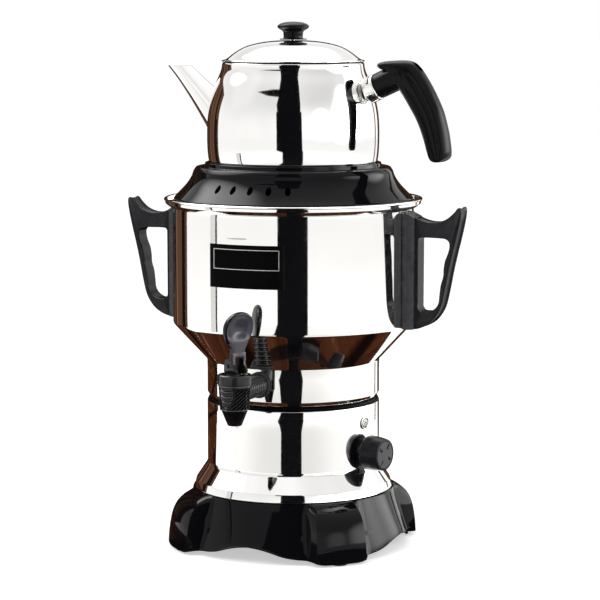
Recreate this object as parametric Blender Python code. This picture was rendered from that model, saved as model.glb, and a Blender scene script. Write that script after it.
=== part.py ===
# Electric samovar with a teapot: a boiler on a heated base, a tap, a steam collar and a pot.
# Metres, +Z up. The part stands on z = 0 and the middle of its outline is at x = y = 0.
# Angles round the samovar are measured from the tap, towards the thermostat knob.
import math

import bmesh
import bpy
from mathutils import Matrix, Vector

for old in list(bpy.data.objects):
    bpy.data.objects.remove(old, do_unlink=True)

# Clearances and fineness
GAP = 0.0003               # between neighbouring solids
OVERRUN = 0.004            # how far a cutter runs past what it cuts
WELD = 0.000002            # doubles closer than this are one point
BIG_STEPS = 32             # facets round a large turned piece
MID_STEPS = 20
SMALL_STEPS = 8
SMOOTH_ANGLE = math.radians(35)
SHEET = 0.0010             # steel sheet of the boiler, the pot and the lid

# Boiler tank
RIM_RADIUS = 0.1028
RIM_TOP = 0.2782
FLARE_RADIUS = 0.0971
FLARE_HEIGHT = 0.2709
TANK_RADIUS = 0.0959
TANK_TOP = 0.2665
WALL_BOTTOM = 0.1786
SHOULDER_SHARES = [(0.12, 0.15), (0.26, 0.28), (0.92, 0.905)]   # wall to neck: inward, down
NECK_RADIUS = 0.0688
NECK_TOP = 0.1490
NECK_LOW = 0.1230
TANK_FLOOR = 0.1165
FLOOR_CORNER = 0.0024

# Lower casing and its flared skirt
CASING_RADIUS = 0.0689
CASING_SHEET = 0.0008
CASING_SHOULDER = 0.0045
CASING_FLANGE_IN = 0.0520
SKIRT_TOP = 0.0650
SKIRT_FLARE = 0.0107
SKIRT_RADIUS = CASING_RADIUS + SKIRT_FLARE
SKIRT_FLANGE_IN = 0.0690

# Base with four feet
BASE_TOP = 0.0457
BASE_MARGIN = 0.0010       # how far the deck shows round the skirt
BASE_TOP_RADIUS = SKIRT_RADIUS + BASE_MARGIN
BASE_WALL = 0.0025
DECK_HOLE = 0.0300
ARCH_RADIUS = 0.0930
ARCH_HEIGHT = 0.0130
FOOT_RADIUS = 0.1022
FOOT_INNER = 0.0835
FOOT_HEIGHT = 0.0015
FOOT_LEDGE = 0.0200
FOOT_ANGLES = [math.radians(a) for a in (45, 135, 225, 315)]
# Along each foot's quarter turn: offset, how much it is foot, how far its edge rises to the arch
FOOT_SHARES = [
    (0.00, 1.00, 0.00), (0.26, 1.00, 0.00), (0.31, 0.74, 0.03), (0.36, 0.10, 0.14),
    (0.40, 0.00, 0.27), (0.55, 0.00, 0.66), (0.76, 0.00, 0.93),
]
# Down the foot's outer side: how far down, how far out
KNEE_SHARES = [
    (0.0, 0.0), (0.03, 0.18), (0.10, 0.41), (0.23, 0.645), (0.39, 0.806), (0.58, 0.905),
    (1.0, 0.985),
]
CONE_BEND = 1.15           # the base's side between the feet is a little hollow
PAD_RADIUS = 0.0068
PAD_DEPTH = 0.0012
PAD_REACH = 0.0930
POST_RADIUS = 0.0045
POST_REACH = 0.0720
COVER_RADIUS = 0.0825
COVER_HEIGHT = 0.0150
COVER_SHEET = 0.0015

# Screws, nuts and studs
SCREW_HEAD = 0.0030
SCREW_HEAD_HEIGHT = 0.0018
SCREW_RADIUS = 0.0015
COVER_SCREW_LENGTH = 0.0100
CASING_SCREW_REACH = 0.0728
CASING_SCREW_LENGTH = 0.0082
CASING_SCREW_ANGLES = [math.radians(a) for a in (5, 125, 245)]
STUD_RADIUS = 0.0025
STUD_REACH = 0.0590
STUD_LENGTH = 0.0100
STUD_ANGLES = [math.radians(a) for a in (35, 155, 275)]
STUD_NUT_RADIUS = 0.0046
STUD_NUT_HEIGHT = 0.0040

# Heating element
HEATER_TUBE = 0.0034
HEATER_LOOP = 0.0400
HEATER_HEIGHT = 0.1370
HEATER_BEND = 0.0070
HEATER_END = 0.1020
HEATER_GAP_ANGLE = math.radians(22)
HEATER_NUT_RADIUS = 0.0085
HEATER_NUT_HEIGHT = 0.0050
HEATER_GASKET_RADIUS = 0.0078
HEATER_GASKET_HEIGHT = 0.0020

# Thermostat, knob and indicator
KNOB_ANGLE = math.radians(77)
KNOB_HEIGHT = 0.0795
KNOB_RADIUS = 0.0133
KNOB_BACK = 0.0730
KNOB_DEPTH = 0.0158
KNOB_TAPER = 0.0007
KNOB_BORE_DEPTH = 0.0100
SHAFT_RADIUS = 0.0030
SHAFT_BACK = 0.0560
BUSH_RADIUS = 0.0050
THERMOSTAT_FACE = 0.0650
THERMOSTAT_DEPTH = 0.0180
THERMOSTAT_SIDE = 0.0240
THERMOSTAT_NUT_RADIUS = 0.0072
THERMOSTAT_NUT_HEIGHT = 0.0022
CAPILLARY_RADIUS = 0.0009
BULB_RADIUS = 0.0030
BULB_LENGTH = 0.0360
BULB_SIDE = -0.0240
LENS_HEIGHT = 0.1028
LENS_RADIUS = 0.0050
LENS_DOME = 0.0017
LENS_BARREL = 0.0038
LENS_BARREL_LENGTH = 0.0060
LAMP_RADIUS = 0.0032
LAMP_LENGTH = 0.0120

# Mains side: gland, terminal block and leads
GLAND_HEIGHT = 0.0290
GLAND_FLANGE = 0.0085
GLAND_FLANGE_HEIGHT = 0.0025
GLAND_BODY = 0.0060
GLAND_BORE = 0.0035
GLAND_LENGTH = 0.0110
GLAND_SEAT = 0.0009         # depth of the flat that is let into the slope for its flange
BLOCK_WIDTH = 0.0300
BLOCK_DEPTH = 0.0160
BLOCK_HEIGHT = 0.0130
BLOCK_SIDE = 0.0400
BLOCK_POLE_PITCH = 0.0090
LEAD_RADIUS = 0.0013

# Side handles, drawn in the plane through the axis: out from the axis, up
HANDLE_TIP_REACH = 0.1433
HANDLE_TOP = 0.2745
HANDLE_FOOT = 0.1776
HANDLE_WIDTH = 0.0190
HANDLE_ROUNDING = 0.0026
# Shares of the span from the wall to the tip, and of the height from foot to tip
HANDLE_OUTER_SHARES = [
    (-0.06, 0.952), (0.04, 0.948), (0.16, 0.915), (0.30, 0.885), (0.46, 0.874), (0.62, 0.885),
    (0.76, 0.918), (0.87, 0.970), (0.93, 1.0), (0.985, 0.985), (1.0, 0.945), (0.975, 0.86),
    (0.90, 0.70), (0.795, 0.475), (0.715, 0.29), (0.65, 0.165), (0.53, 0.085), (0.37, 0.035),
    (0.19, 0.008), (0.04, 0.0), (-0.06, 0.0),
]
HANDLE_OPENING_SHARES = [
    (0.20, 0.735), (0.22, 0.745), (0.30, 0.75), (0.40, 0.75), (0.50, 0.75), (0.60, 0.75),
    (0.70, 0.748), (0.775, 0.735), (0.80, 0.695), (0.785, 0.64), (0.735, 0.575), (0.705, 0.53),
    (0.700, 0.475), (0.690, 0.42), (0.640, 0.355), (0.628, 0.285), (0.60, 0.215), (0.50, 0.165),
    (0.36, 0.152), (0.24, 0.160), (0.20, 0.19),
]
HANDLE_SCREW_HEIGHTS_SHARES = (0.26, 0.62)
HANDLE_SCREW_LENGTH = 0.0075
HANDLE_SCREW_RADIUS = 0.0020
HANDLE_SCREW_HEAD = 0.0042

# Label plate on the front
LABEL_WIDTH = 0.0630
LABEL_HEIGHT = 0.0335
LABEL_DROP = 0.0467        # from the tank's rim to the plate's middle
LABEL_THICKNESS = 0.0005

# Tap
TAP_STANDOFF = 0.0189      # from the tank's wall to the tap's own axis
TAP_REACH = TANK_RADIUS + TAP_STANDOFF
SHANK_HEIGHT = 0.1368
SHANK_RADIUS = 0.0082
SHANK_BORE = 0.0048
SHANK_END = 0.0560
TAP_RADIUS = 0.0122
TAP_TOP = 0.1430
TAP_WAIST = 0.1250
TAP_WAIST_RADIUS = 0.0113
NOZZLE_TOP_RADIUS = 0.0102
NOZZLE_RADIUS = 0.0050
NOZZLE_END = 0.1125
TAP_CHAMBER = 0.0085
TAP_SEAT = 0.1275
NOZZLE_BORE = 0.0038
BONNET_RADIUS = 0.0131
BONNET_TOP = 0.1520
BONNET_PLATE = 0.0020
BONNET_WALL = 0.0022
TAP_GASKET_RADIUS = 0.0108
TAP_GASKET_DEPTH = 0.0038
TAP_NUT_RADIUS = 0.0125
TAP_NUT_DEPTH = 0.0055
STEM_RADIUS = 0.0026
STEM_TAB = 0.0030          # half the width of the stem's flat eye
CUP_RADIUS = 0.0062
CUP_HEIGHT = 0.0060
PIN_HEIGHT = 0.1585
PIN_RADIUS = 0.0014
FORK_WIDTH = 0.0130
FORK_SLOT = 0.0070
FORK_TOP = 0.1668
HEEL_LIFT = 0.0040         # how far the stem rises for each radian of the lever
HEEL_BACK = 0.0055
LEVER_TRAVEL = math.radians(45)
LEVER_TURN = math.radians(60)    # which way it faces: round the tap, from the front
LEVER_NECK = 0.0098
LEVER_THICKNESS = 0.0050
PADDLE_WIDTH = 0.0265
PADDLE_TOP = 0.2000
PADDLE_DISH = 0.0012
PADDLE_SHARES = [
    (0.50, 0.00), (0.56, 0.08), (0.72, 0.17), (0.88, 0.30), (0.98, 0.48), (1.00, 0.66),
    (0.94, 0.82), (0.76, 0.93), (0.46, 0.985), (0.15, 1.0),
]

# Steam collar
COLLAR_SEAT = 0.3008
COLLAR_SEAT_SHEET = 0.0025
COLLAR_HOLE = 0.0500
COLLAR_LIP = 0.3062
COLLAR_LIP_WALL = 0.0028
COLLAR_TOP = 0.3028
COLLAR_TOP_RADIUS = 0.0767
COLLAR_WALL = 0.0022
COLLAR_EDGE_RADIUS = 0.0955
COLLAR_EDGE = 0.2778
# From the collar's top to its edge: outward, down
COLLAR_SHARES = [
    (0.10, 0.06), (0.19, 0.26), (0.27, 0.38), (0.47, 0.59), (0.72, 0.79), (1.0, 1.0),
]
SPIGOT_RADIUS = 0.0938
SPIGOT_BOTTOM = 0.2600
VENT_COUNT = 5
VENT_PITCH = math.radians(10)
VENT_RISE = 0.0102         # above the collar's edge
VENT_HEIGHT = COLLAR_EDGE + VENT_RISE
VENT_WIDTH = 0.0050
VENT_LENGTH = 0.0080
VENT_TILT = math.radians(46)

# Teapot
POT_FLOOR = 0.3011
POT_RADIUS = 0.0683
POT_NECK = 0.0553
POT_RIM = 0.3850
# Down the pot's side: share of the step from neck to belly, share of the height
POT_SHARES = [
    (0.00, 1.0), (0.00, 0.955), (0.25, 0.878), (0.45, 0.80), (0.70, 0.68), (0.90, 0.57),
    (0.995, 0.42), (1.0, 0.21), (0.90, 0.065), (0.78, 0.022), (0.50, 0.0),
]
SPOUT_ANGLE = math.radians(-94)
SPOUT_ROOT = (0.0620, 0.3385)
SPOUT_TIP = (0.1045, 0.3825)
SPOUT_ROOT_RADIUS = 0.0153
SPOUT_TIP_RADIUS = 0.0068
SPOUT_MOUTH = 0.3812
SPOUT_SHEET = 0.0009
STRAINER_HOLE = 0.0021
STRAINER_PITCH = 0.0075
STRAINER_HEIGHT = 0.3440

# Pot handle: out from the axis, up, in its own plane
POT_HANDLE_ANGLE = math.radians(86)
SOCKET_START = (0.0740, 0.3670)
SOCKET_RISE = math.radians(24)
SOCKET_RADIUS = 0.0101
SOCKET_LENGTH = 0.0270
FERRULE_LENGTH = 0.0092
FERRULE_RADIUS = 0.0104
BRACKET_WIDTH = 0.0130
BRACKET_HEIGHT = 0.0165
GRIP_WIDTH = 0.0175
GRIP_ROUNDING = 0.0048
GRIP_REACH = 0.1348
GRIP_TOP = 0.3872
GRIP_BOTTOM = 0.3092
GRIP_START = 0.0750
# Round the grip's side view: share of its reach, share of its height
GRIP_SHARES = [
    (0.00, 0.945), (0.04, 0.975), (0.14, 0.99), (0.34, 1.0), (0.48, 0.985), (0.56, 0.94),
    (0.635, 0.865), (0.73, 0.75), (0.815, 0.632), (0.885, 0.515), (0.93, 0.40), (0.97, 0.28),
    (0.993, 0.165), (1.0, 0.085), (0.965, 0.03), (0.86, 0.0), (0.775, 0.012), (0.735, 0.06),
    (0.665, 0.20), (0.59, 0.355), (0.48, 0.512), (0.39, 0.62), (0.32, 0.70), (0.22, 0.80),
    (0.04, 0.905),
]
BOLT_RADIUS = 0.0020
BOLT_HEAD = 0.0034
BOLT_HEAD_HEIGHT = 0.0030
BOLT_LENGTH = 0.0330
BOLT_WELL = 0.0042

# Lid and its knob
LID_RADIUS = 0.0564
LID_STAND = 0.0011         # the lid's edge above the pot's rim
LID_EDGE = POT_RIM + LID_STAND
LID_RISE = 0.0161
LID_TOP = LID_EDGE + LID_RISE
LID_RING_RADIUS = 0.0540
LID_RING_BOTTOM = 0.3790
LID_HOLE = 0.0022
# From the lid's middle to its edge: outward, down
LID_SHARES = [
    (0.18, 0.02), (0.43, 0.095), (0.60, 0.22), (0.76, 0.46), (0.90, 0.84), (0.945, 0.925),
]
LID_KNOB_HEIGHT = 0.0146
LID_KNOB_TOP = LID_TOP + LID_KNOB_HEIGHT
LID_KNOB_RADIUS = 0.0125
# Down the knob's side: outward, share of its height
LID_KNOB_SHARES = [
    (0.55, 1.0), (0.86, 0.95), (1.0, 0.82), (1.0, 0.70), (0.80, 0.56), (0.63, 0.46),
    (0.60, 0.30), (0.66, 0.13), (0.86, 0.06), (0.87, 0.0),
]

# The middle of the outline lies between the tap's front and the back of the rim.
AXIS_SHIFT = (TAP_REACH + BONNET_RADIUS - RIM_RADIUS) / 2

axis_frame = bpy.data.objects.new("samovar_axis", None)
bpy.context.scene.collection.objects.link(axis_frame)
axis_frame.location = (0, AXIS_SHIFT, 0)

# The lever, its pin and the stem's eye are drawn round the pin, and turned with this frame.
lever_frame = bpy.data.objects.new("lever_axis", None)
bpy.context.scene.collection.objects.link(lever_frame)
lever_frame.parent = axis_frame
lever_frame.location = (0, -TAP_REACH, PIN_HEIGHT)
lever_frame.rotation_euler = (0, 0, LEVER_TURN)


def material(name, colour, roughness, metallic):
    made = bpy.data.materials.new(name)
    made.use_nodes = True
    shader = made.node_tree.nodes["Principled BSDF"]
    shader.inputs["Base Color"].default_value = (*colour, 1)
    shader.inputs["Roughness"].default_value = roughness
    shader.inputs["Metallic"].default_value = metallic
    made.diffuse_color = (*colour, 1)
    return made


steel = material("polished_steel", (0.80, 0.80, 0.79), 0.06, 1.0)
dull_steel = material("plain_steel", (0.55, 0.55, 0.54), 0.35, 1.0)
black_gloss = material("black_gloss_plastic", (0.012, 0.012, 0.014), 0.12, 0.0)
black_satin = material("black_satin_plastic", (0.018, 0.018, 0.019), 0.38, 0.0)
grey_black = material("grey_black_plastic", (0.055, 0.055, 0.062), 0.35, 0.0)
rubber = material("black_rubber", (0.02, 0.02, 0.02), 0.8, 0.0)
silicone = material("pale_silicone", (0.75, 0.74, 0.70), 0.5, 0.0)
clear_lens = material("clear_lens", (0.85, 0.86, 0.85), 0.1, 0.0)
brass = material("brass", (0.72, 0.55, 0.25), 0.3, 1.0)
wire_red = material("brown_wire", (0.20, 0.08, 0.04), 0.5, 0.0)
wire_blue = material("blue_wire", (0.03, 0.08, 0.30), 0.5, 0.0)
cream = material("cream_ceramic", (0.80, 0.76, 0.66), 0.5, 0.0)


def polar(reach, angle, height):
    return Vector((reach * math.sin(angle), -reach * math.cos(angle), height))


def outward(angle, rise=0.0):
    flat = math.cos(rise)
    return Vector((flat * math.sin(angle), -flat * math.cos(angle), math.sin(rise)))


def shares_to_points(shares, first, last):
    """Outline points from shares of the way from first to last, across and up."""
    return [
        (first[0] + (last[0] - first[0]) * across, first[1] + (last[1] - first[1]) * up)
        for across, up in shares
    ]


def offset_path(points, distance):
    """The path moved sideways: outward for a path that runs down a shell's outer side."""
    moved = []
    for i, (across, up) in enumerate(points):
        normals = []
        for a, b in ((i - 1, i), (i, i + 1)):
            if a < 0 or b >= len(points):
                continue
            run = Vector(points[b]) - Vector(points[a])
            normals.append(Vector((-run.y, run.x)).normalized())
        mean = sum(normals, Vector((0, 0))).normalized()
        reach = distance / max(mean.dot(normals[0]), math.cos(SMOOTH_ANGLE * 2))
        moved.append((max(across + mean.x * reach, 0), up + mean.y * reach))
    return moved


def radius_at(points, height):
    """How far out a path that runs downward lies at a height."""
    for (out_above, above), (out_below, below) in zip(points, points[1:]):
        if below <= height <= above and above > below:
            return out_above + (out_below - out_above) * (above - height) / (above - below)
    return points[0][0]


def sheet_outline(points, thickness):
    """A closed outline of sheet whose outer side runs along the points."""
    return points + offset_path(points, -thickness)[::-1]


def mesh_object(name, bm, mat, smooth=True):
    bmesh.ops.remove_doubles(bm, verts=bm.verts, dist=WELD)
    bmesh.ops.dissolve_degenerate(bm, edges=bm.edges, dist=WELD)
    bmesh.ops.recalc_face_normals(bm, faces=bm.faces)
    mesh = bpy.data.meshes.new(name)
    bm.to_mesh(mesh)
    bm.free()
    if smooth:
        mesh.shade_smooth()
        mesh.set_sharp_from_angle(angle=SMOOTH_ANGLE)
    obj = bpy.data.objects.new(name, mesh)
    bpy.context.scene.collection.objects.link(obj)
    obj.parent = axis_frame
    if mat:
        mesh.materials.append(mat)
    return obj


def turned(name, outline, mat, steps=BIG_STEPS):
    """A closed outline of (radius, height) points, turned about Z."""
    bm = bmesh.new()
    verts = [bm.verts.new((across, 0, up)) for across, up in outline]
    for i, vert in enumerate(verts):
        other = verts[(i + 1) % len(verts)]
        if vert.co.x > WELD or other.co.x > WELD:
            bm.edges.new((vert, other))
    bmesh.ops.spin(bm, geom=bm.verts[:] + bm.edges[:], cent=(0, 0, 0), axis=(0, 0, 1),
                   dvec=(0, 0, 0), angle=math.tau, steps=steps, use_merge=True)
    return mesh_object(name, bm, mat)


def lofted(name, rings, mat, closed=False, smooth=True):
    """Rings of points joined side by side: capped at both ends, or closed into a loop."""
    bm = bmesh.new()
    made = [[bm.verts.new(point) for point in ring] for ring in rings]
    pairs = list(zip(made, made[1:]))
    if closed:
        pairs.append((made[-1], made[0]))
    for ring, following in pairs:
        for i in range(len(ring)):
            j = (i + 1) % len(ring)
            bm.faces.new((ring[i], ring[j], following[j], following[i]))
    if not closed:
        bm.faces.new(made[0])
        bm.faces.new(made[-1])
    return mesh_object(name, bm, mat, smooth)


def prism(name, outline, thickness, mat):
    """An outline in the XZ plane, given a thickness along Y on both sides of it."""
    rings = [[(across, side, up) for across, up in outline] for side in (-thickness / 2, thickness / 2)]
    return lofted(name, rings, mat)


def block(name, size, mat):
    half = Vector(size) / 2
    outline = [(-half.x, -half.z), (half.x, -half.z), (half.x, half.z), (-half.x, half.z)]
    return prism(name, outline, size[1], mat)


def swept(name, points, radii, mat, sides=8):
    """A round bar along the points, with a radius at each."""
    path = [Vector(point) for point in points]
    rings = []
    side = None
    for i, point in enumerate(path):
        run = (path[min(i + 1, len(path) - 1)] - path[max(i - 1, 0)]).normalized()
        if side is None:
            side = run.orthogonal()
        side = (side - run * side.dot(run)).normalized()
        other = run.cross(side)
        rings.append([
            point + (side * math.cos(turn) + other * math.sin(turn)) * radii[i]
            for turn in (math.tau * k / sides for k in range(sides))
        ])
    return lofted(name, rings, mat)


def smooth_path(points, per_span=3):
    """Points along a smooth curve through the given ones."""
    path = [Vector(point) for point in points]
    ends = [path[0] * 2 - path[1]] + path + [path[-1] * 2 - path[-2]]
    made = []
    for a, b, c, d in zip(ends, ends[1:], ends[2:], ends[3:]):
        for k in range(per_span):
            t = k / per_span
            made.append((b * 2 + (c - a) * t + (a * 2 - b * 5 + c * 4 - d) * t ** 2
                         + (b * 3 - a - c * 3 + d) * t ** 3) / 2)
    return made + [path[-1]]


def place(obj, location, direction=None):
    obj.location = location
    if direction is not None:
        obj.rotation_mode = "QUATERNION"
        obj.rotation_quaternion = Vector(direction).to_track_quat("Z", "Y")
    return obj


def stand_in_plane(obj, angle):
    """Turns a side view drawn in the XZ plane to face out at an angle round the axis."""
    obj.rotation_euler = (0, 0, angle - math.pi / 2)
    return obj


def on_lever(obj):
    obj.parent = lever_frame
    return obj


def as_cutter(obj):
    obj.hide_render = True
    obj.display_type = "WIRE"
    return obj


def combine(obj, other, operation):
    step = obj.modifiers.new(operation.lower(), "BOOLEAN")
    step.operation = operation
    step.solver = "EXACT"
    step.object = as_cutter(other)
    return obj


def cut(obj, other):
    return combine(obj, other, "DIFFERENCE")


def add(obj, other):
    return combine(obj, other, "UNION")


def rounded(obj, width, segments=2):
    step = obj.modifiers.new("rounding", "BEVEL")
    step.width = width
    step.segments = segments
    step.limit_method = "ANGLE"
    step.angle_limit = SMOOTH_ANGLE
    return obj


def bar_outline(radius, low, high):
    return [(0, high), (radius, high), (radius, low), (0, low)]


def ring_outline(inner, outer, low, high):
    return [(outer, high), (outer, low), (inner, low), (inner, high)]


def drill(name, radius, start, direction, length, steps=SMALL_STEPS):
    """A round cutter that begins one overrun before start and runs on by length."""
    hole = turned(name, bar_outline(radius, -OVERRUN, length), None, steps)
    return place(hole, start, direction)


def screw(name, head, head_height, radius, length, mat):
    """A pan head above z = 0 and a shank below it."""
    outline = [(0, head_height), (head, head_height / 2), (head, 0), (radius, 0), (radius, -length),
               (0, -length)]
    return turned(name, outline, mat, SMALL_STEPS)


def hex_nut(name, radius, bore, height, mat, spot, direction=(0, 0, 1), steps=SMALL_STEPS):
    """A hexagon nut that stands on a spot, its bore along the direction."""
    nut = turned(name, bar_outline(radius, 0, height), mat, 6)
    hole = turned(name + "_bore", bar_outline(bore, -OVERRUN, height + OVERRUN), None, steps)
    return cut(place(nut, spot, direction), place(hole, spot, direction))


def tank_outer():
    """The boiler's outer side, from its rim down to the middle of its floor."""
    shoulder = shares_to_points(SHOULDER_SHARES, (TANK_RADIUS, WALL_BOTTOM), (NECK_RADIUS, NECK_TOP))
    return [
        (RIM_RADIUS, RIM_TOP), (FLARE_RADIUS, FLARE_HEIGHT), (TANK_RADIUS, TANK_TOP),
        (TANK_RADIUS, WALL_BOTTOM), *shoulder, (NECK_RADIUS, NECK_TOP),
        (NECK_RADIUS, NECK_LOW), (NECK_RADIUS - FLOOR_CORNER / 2, TANK_FLOOR + FLOOR_CORNER),
        (NECK_RADIUS - FLOOR_CORNER, TANK_FLOOR), (0, TANK_FLOOR),
    ]


def swollen(name, outer):
    """A shell's outer side swollen by the clearance, as a solid cutter for what is fixed to it."""
    path = offset_path(outer, GAP)
    return turned(name, [(0, path[0][1]), *path[:-1], (0, path[-1][1])], None)


def heater_legs():
    return [polar(HEATER_LOOP, math.pi + side * HEATER_GAP_ANGLE, 0) for side in (1, -1)]


def handle_side(angle):
    """Places on one side handle: its angle and the two screw heights."""
    height = HANDLE_TOP - HANDLE_FOOT
    return [(angle, HANDLE_FOOT + height * share) for share in HANDLE_SCREW_HEIGHTS_SHARES]


HANDLE_ANGLES = {"left": math.radians(-90), "right": math.radians(90)}
HANDLE_SCREW_PLACES = handle_side(HANDLE_ANGLES["left"]) + handle_side(HANDLE_ANGLES["right"])
STUD_TOP = TANK_FLOOR + SHEET / 2


def make_tank():
    tank = turned("boiler_tank", sheet_outline(tank_outer(), SHEET), steel)
    for i, angle in enumerate(STUD_ANGLES):
        stud = turned(f"stud_{i}", bar_outline(STUD_RADIUS, -STUD_LENGTH, 0), None, SMALL_STEPS)
        add(tank, place(stud, polar(STUD_REACH, angle, STUD_TOP)))
    cut(tank, drill("tap_hole", SHANK_RADIUS + GAP, polar(SHANK_END, 0, SHANK_HEIGHT), outward(0),
                    NECK_RADIUS - SHANK_END + OVERRUN, MID_STEPS))
    for i, leg in enumerate(heater_legs()):
        start = leg + Vector((0, 0, TANK_FLOOR))
        cut(tank, drill(f"heater_hole_{i}", HEATER_TUBE + GAP, start, (0, 0, 1), SHEET + OVERRUN))
    for i, (angle, height) in enumerate(HANDLE_SCREW_PLACES):
        cut(tank, drill(f"handle_hole_{i}", HANDLE_SCREW_RADIUS + GAP,
                        polar(TANK_RADIUS - SHEET, angle, height), outward(angle), SHEET + OVERRUN))
    return tank


def make_studs_and_nuts():
    under_flange = TANK_FLOOR - GAP - CASING_SHEET - GAP - STUD_NUT_HEIGHT
    for i, angle in enumerate(STUD_ANGLES):
        hex_nut(f"tank_nut_{i + 1}", STUD_NUT_RADIUS, STUD_RADIUS + GAP, STUD_NUT_HEIGHT,
                dull_steel, polar(STUD_REACH, angle, under_flange))


def make_casing():
    flange_top = TANK_FLOOR - GAP
    top = flange_top - CASING_SHOULDER
    flare_start = SKIRT_TOP - CASING_SHOULDER / 2
    path = [
        (CASING_FLANGE_IN, flange_top), (CASING_RADIUS - CASING_SHOULDER * 0.7, flange_top),
        (CASING_RADIUS - CASING_SHOULDER * 0.2, flange_top - CASING_SHOULDER * 0.4),
        (CASING_RADIUS, top), (CASING_RADIUS, SKIRT_TOP + CASING_SHOULDER / 2),
        (CASING_RADIUS + CASING_SHOULDER * 0.15, flare_start),
        (SKIRT_RADIUS, BASE_TOP + GAP), (SKIRT_FLANGE_IN, BASE_TOP + GAP),
    ]
    casing = turned("lower_casing", sheet_outline(path, CASING_SHEET), steel)
    wall = CASING_RADIUS - CASING_SHEET
    for i, angle in enumerate(STUD_ANGLES):
        cut(casing, drill(f"stud_hole_{i}", STUD_RADIUS + GAP,
                          polar(STUD_REACH, angle, flange_top - CASING_SHEET), (0, 0, 1),
                          CASING_SHEET + OVERRUN))
    cut(casing, drill("bush_hole", BUSH_RADIUS + GAP, polar(wall, KNOB_ANGLE, KNOB_HEIGHT),
                      outward(KNOB_ANGLE), CASING_SHEET + OVERRUN, MID_STEPS))
    cut(casing, drill("lens_hole", LENS_BARREL + GAP, polar(wall, KNOB_ANGLE, LENS_HEIGHT),
                      outward(KNOB_ANGLE), CASING_SHEET + OVERRUN, MID_STEPS))
    for i, angle in enumerate(CASING_SCREW_ANGLES):
        cut(casing, drill(f"skirt_screw_hole_{i}", SCREW_RADIUS + GAP,
                          polar(CASING_SCREW_REACH, angle, BASE_TOP), (0, 0, 1),
                          CASING_SHEET + GAP + OVERRUN))
    return casing


def base_section(angle, foot, arch):
    """One upright section through the base, at an angle, as points in space."""
    bottom = FOOT_HEIGHT + (ARCH_HEIGHT - FOOT_HEIGHT) * arch
    points = []
    for down, out in KNEE_SHARES:
        cone = BASE_TOP_RADIUS + (ARCH_RADIUS - BASE_TOP_RADIUS) * down ** CONE_BEND
        knee = BASE_TOP_RADIUS + (FOOT_RADIUS - BASE_TOP_RADIUS) * out
        points.append((cone + (knee - cone) * foot, BASE_TOP - (BASE_TOP - bottom) * down))
    arch_inner = ARCH_RADIUS - BASE_WALL
    inner_edge = arch_inner + (FOOT_INNER - arch_inner) * foot
    ledge = max(FOOT_LEDGE, bottom)
    ledge_inner = inner_edge - BASE_WALL * (1 - foot)
    under_deck = BASE_TOP - BASE_WALL
    points += [
        (inner_edge, bottom), (ledge_inner, ledge), (BASE_TOP_RADIUS - BASE_WALL, under_deck),
        (DECK_HOLE, under_deck), (DECK_HOLE, BASE_TOP),
    ]
    return [polar(across, angle, up) for across, up in points]


def make_base():
    quarter = math.pi / 4
    sections = []
    for middle in FOOT_ANGLES:
        sides = [(-share, foot, arch) for share, foot, arch in FOOT_SHARES[:0:-1]] + FOOT_SHARES
        sides.append((1.0, 0.0, 1.0))
        for share, foot, arch in sides:
            sections.append(base_section(middle + share * quarter, foot, arch))
    base = lofted("base_shell", sections, black_gloss, closed=True)
    post_top = BASE_TOP - BASE_WALL / 2
    post_bottom = COVER_HEIGHT + COVER_SHEET + GAP
    for i, angle in enumerate(FOOT_ANGLES):
        post = turned(f"post_{i}", bar_outline(POST_RADIUS, post_bottom, post_top), None, SMALL_STEPS)
        add(base, place(post, polar(POST_REACH, angle, 0)))
        cut(base, drill(f"post_hole_{i}", SCREW_RADIUS + GAP,
                        polar(POST_REACH, angle, post_bottom), (0, 0, 1),
                        COVER_SCREW_LENGTH))
        cut(base, turned_at(f"pad_pocket_{i}", bar_outline(PAD_RADIUS + GAP, -OVERRUN, PAD_DEPTH),
                            polar(PAD_REACH, angle, FOOT_HEIGHT)))
    for i, angle in enumerate(CASING_SCREW_ANGLES):
        cut(base, drill(f"deck_hole_{i}", SCREW_RADIUS + GAP,
                        polar(CASING_SCREW_REACH, angle, BASE_TOP - BASE_WALL), (0, 0, 1),
                        BASE_WALL + OVERRUN))
    spot, direction = gland_place()
    cut(base, drill("gland_hole", GLAND_BODY + GAP, spot - direction * GLAND_LENGTH, direction,
                    GLAND_LENGTH + OVERRUN, MID_STEPS))
    flat = turned("gland_flat", bar_outline(GLAND_FLANGE + GAP, 0, GLAND_LENGTH), None, MID_STEPS)
    cut(base, place(flat, spot, direction))
    return base


def turned_at(name, outline, location, mat=None, steps=SMALL_STEPS):
    return place(turned(name, outline, mat, steps), location)


def gland_place():
    """Where the cord would enter: the flat let into the rear slope, and its outward direction."""
    down = (BASE_TOP - GLAND_HEIGHT) / (BASE_TOP - ARCH_HEIGHT)
    reach = BASE_TOP_RADIUS + (ARCH_RADIUS - BASE_TOP_RADIUS) * down ** CONE_BEND
    slope = math.atan2(ARCH_RADIUS - BASE_TOP_RADIUS, BASE_TOP - ARCH_HEIGHT)
    direction = outward(math.pi, slope)
    return polar(reach, math.pi, GLAND_HEIGHT) - direction * GLAND_SEAT, direction


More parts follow.
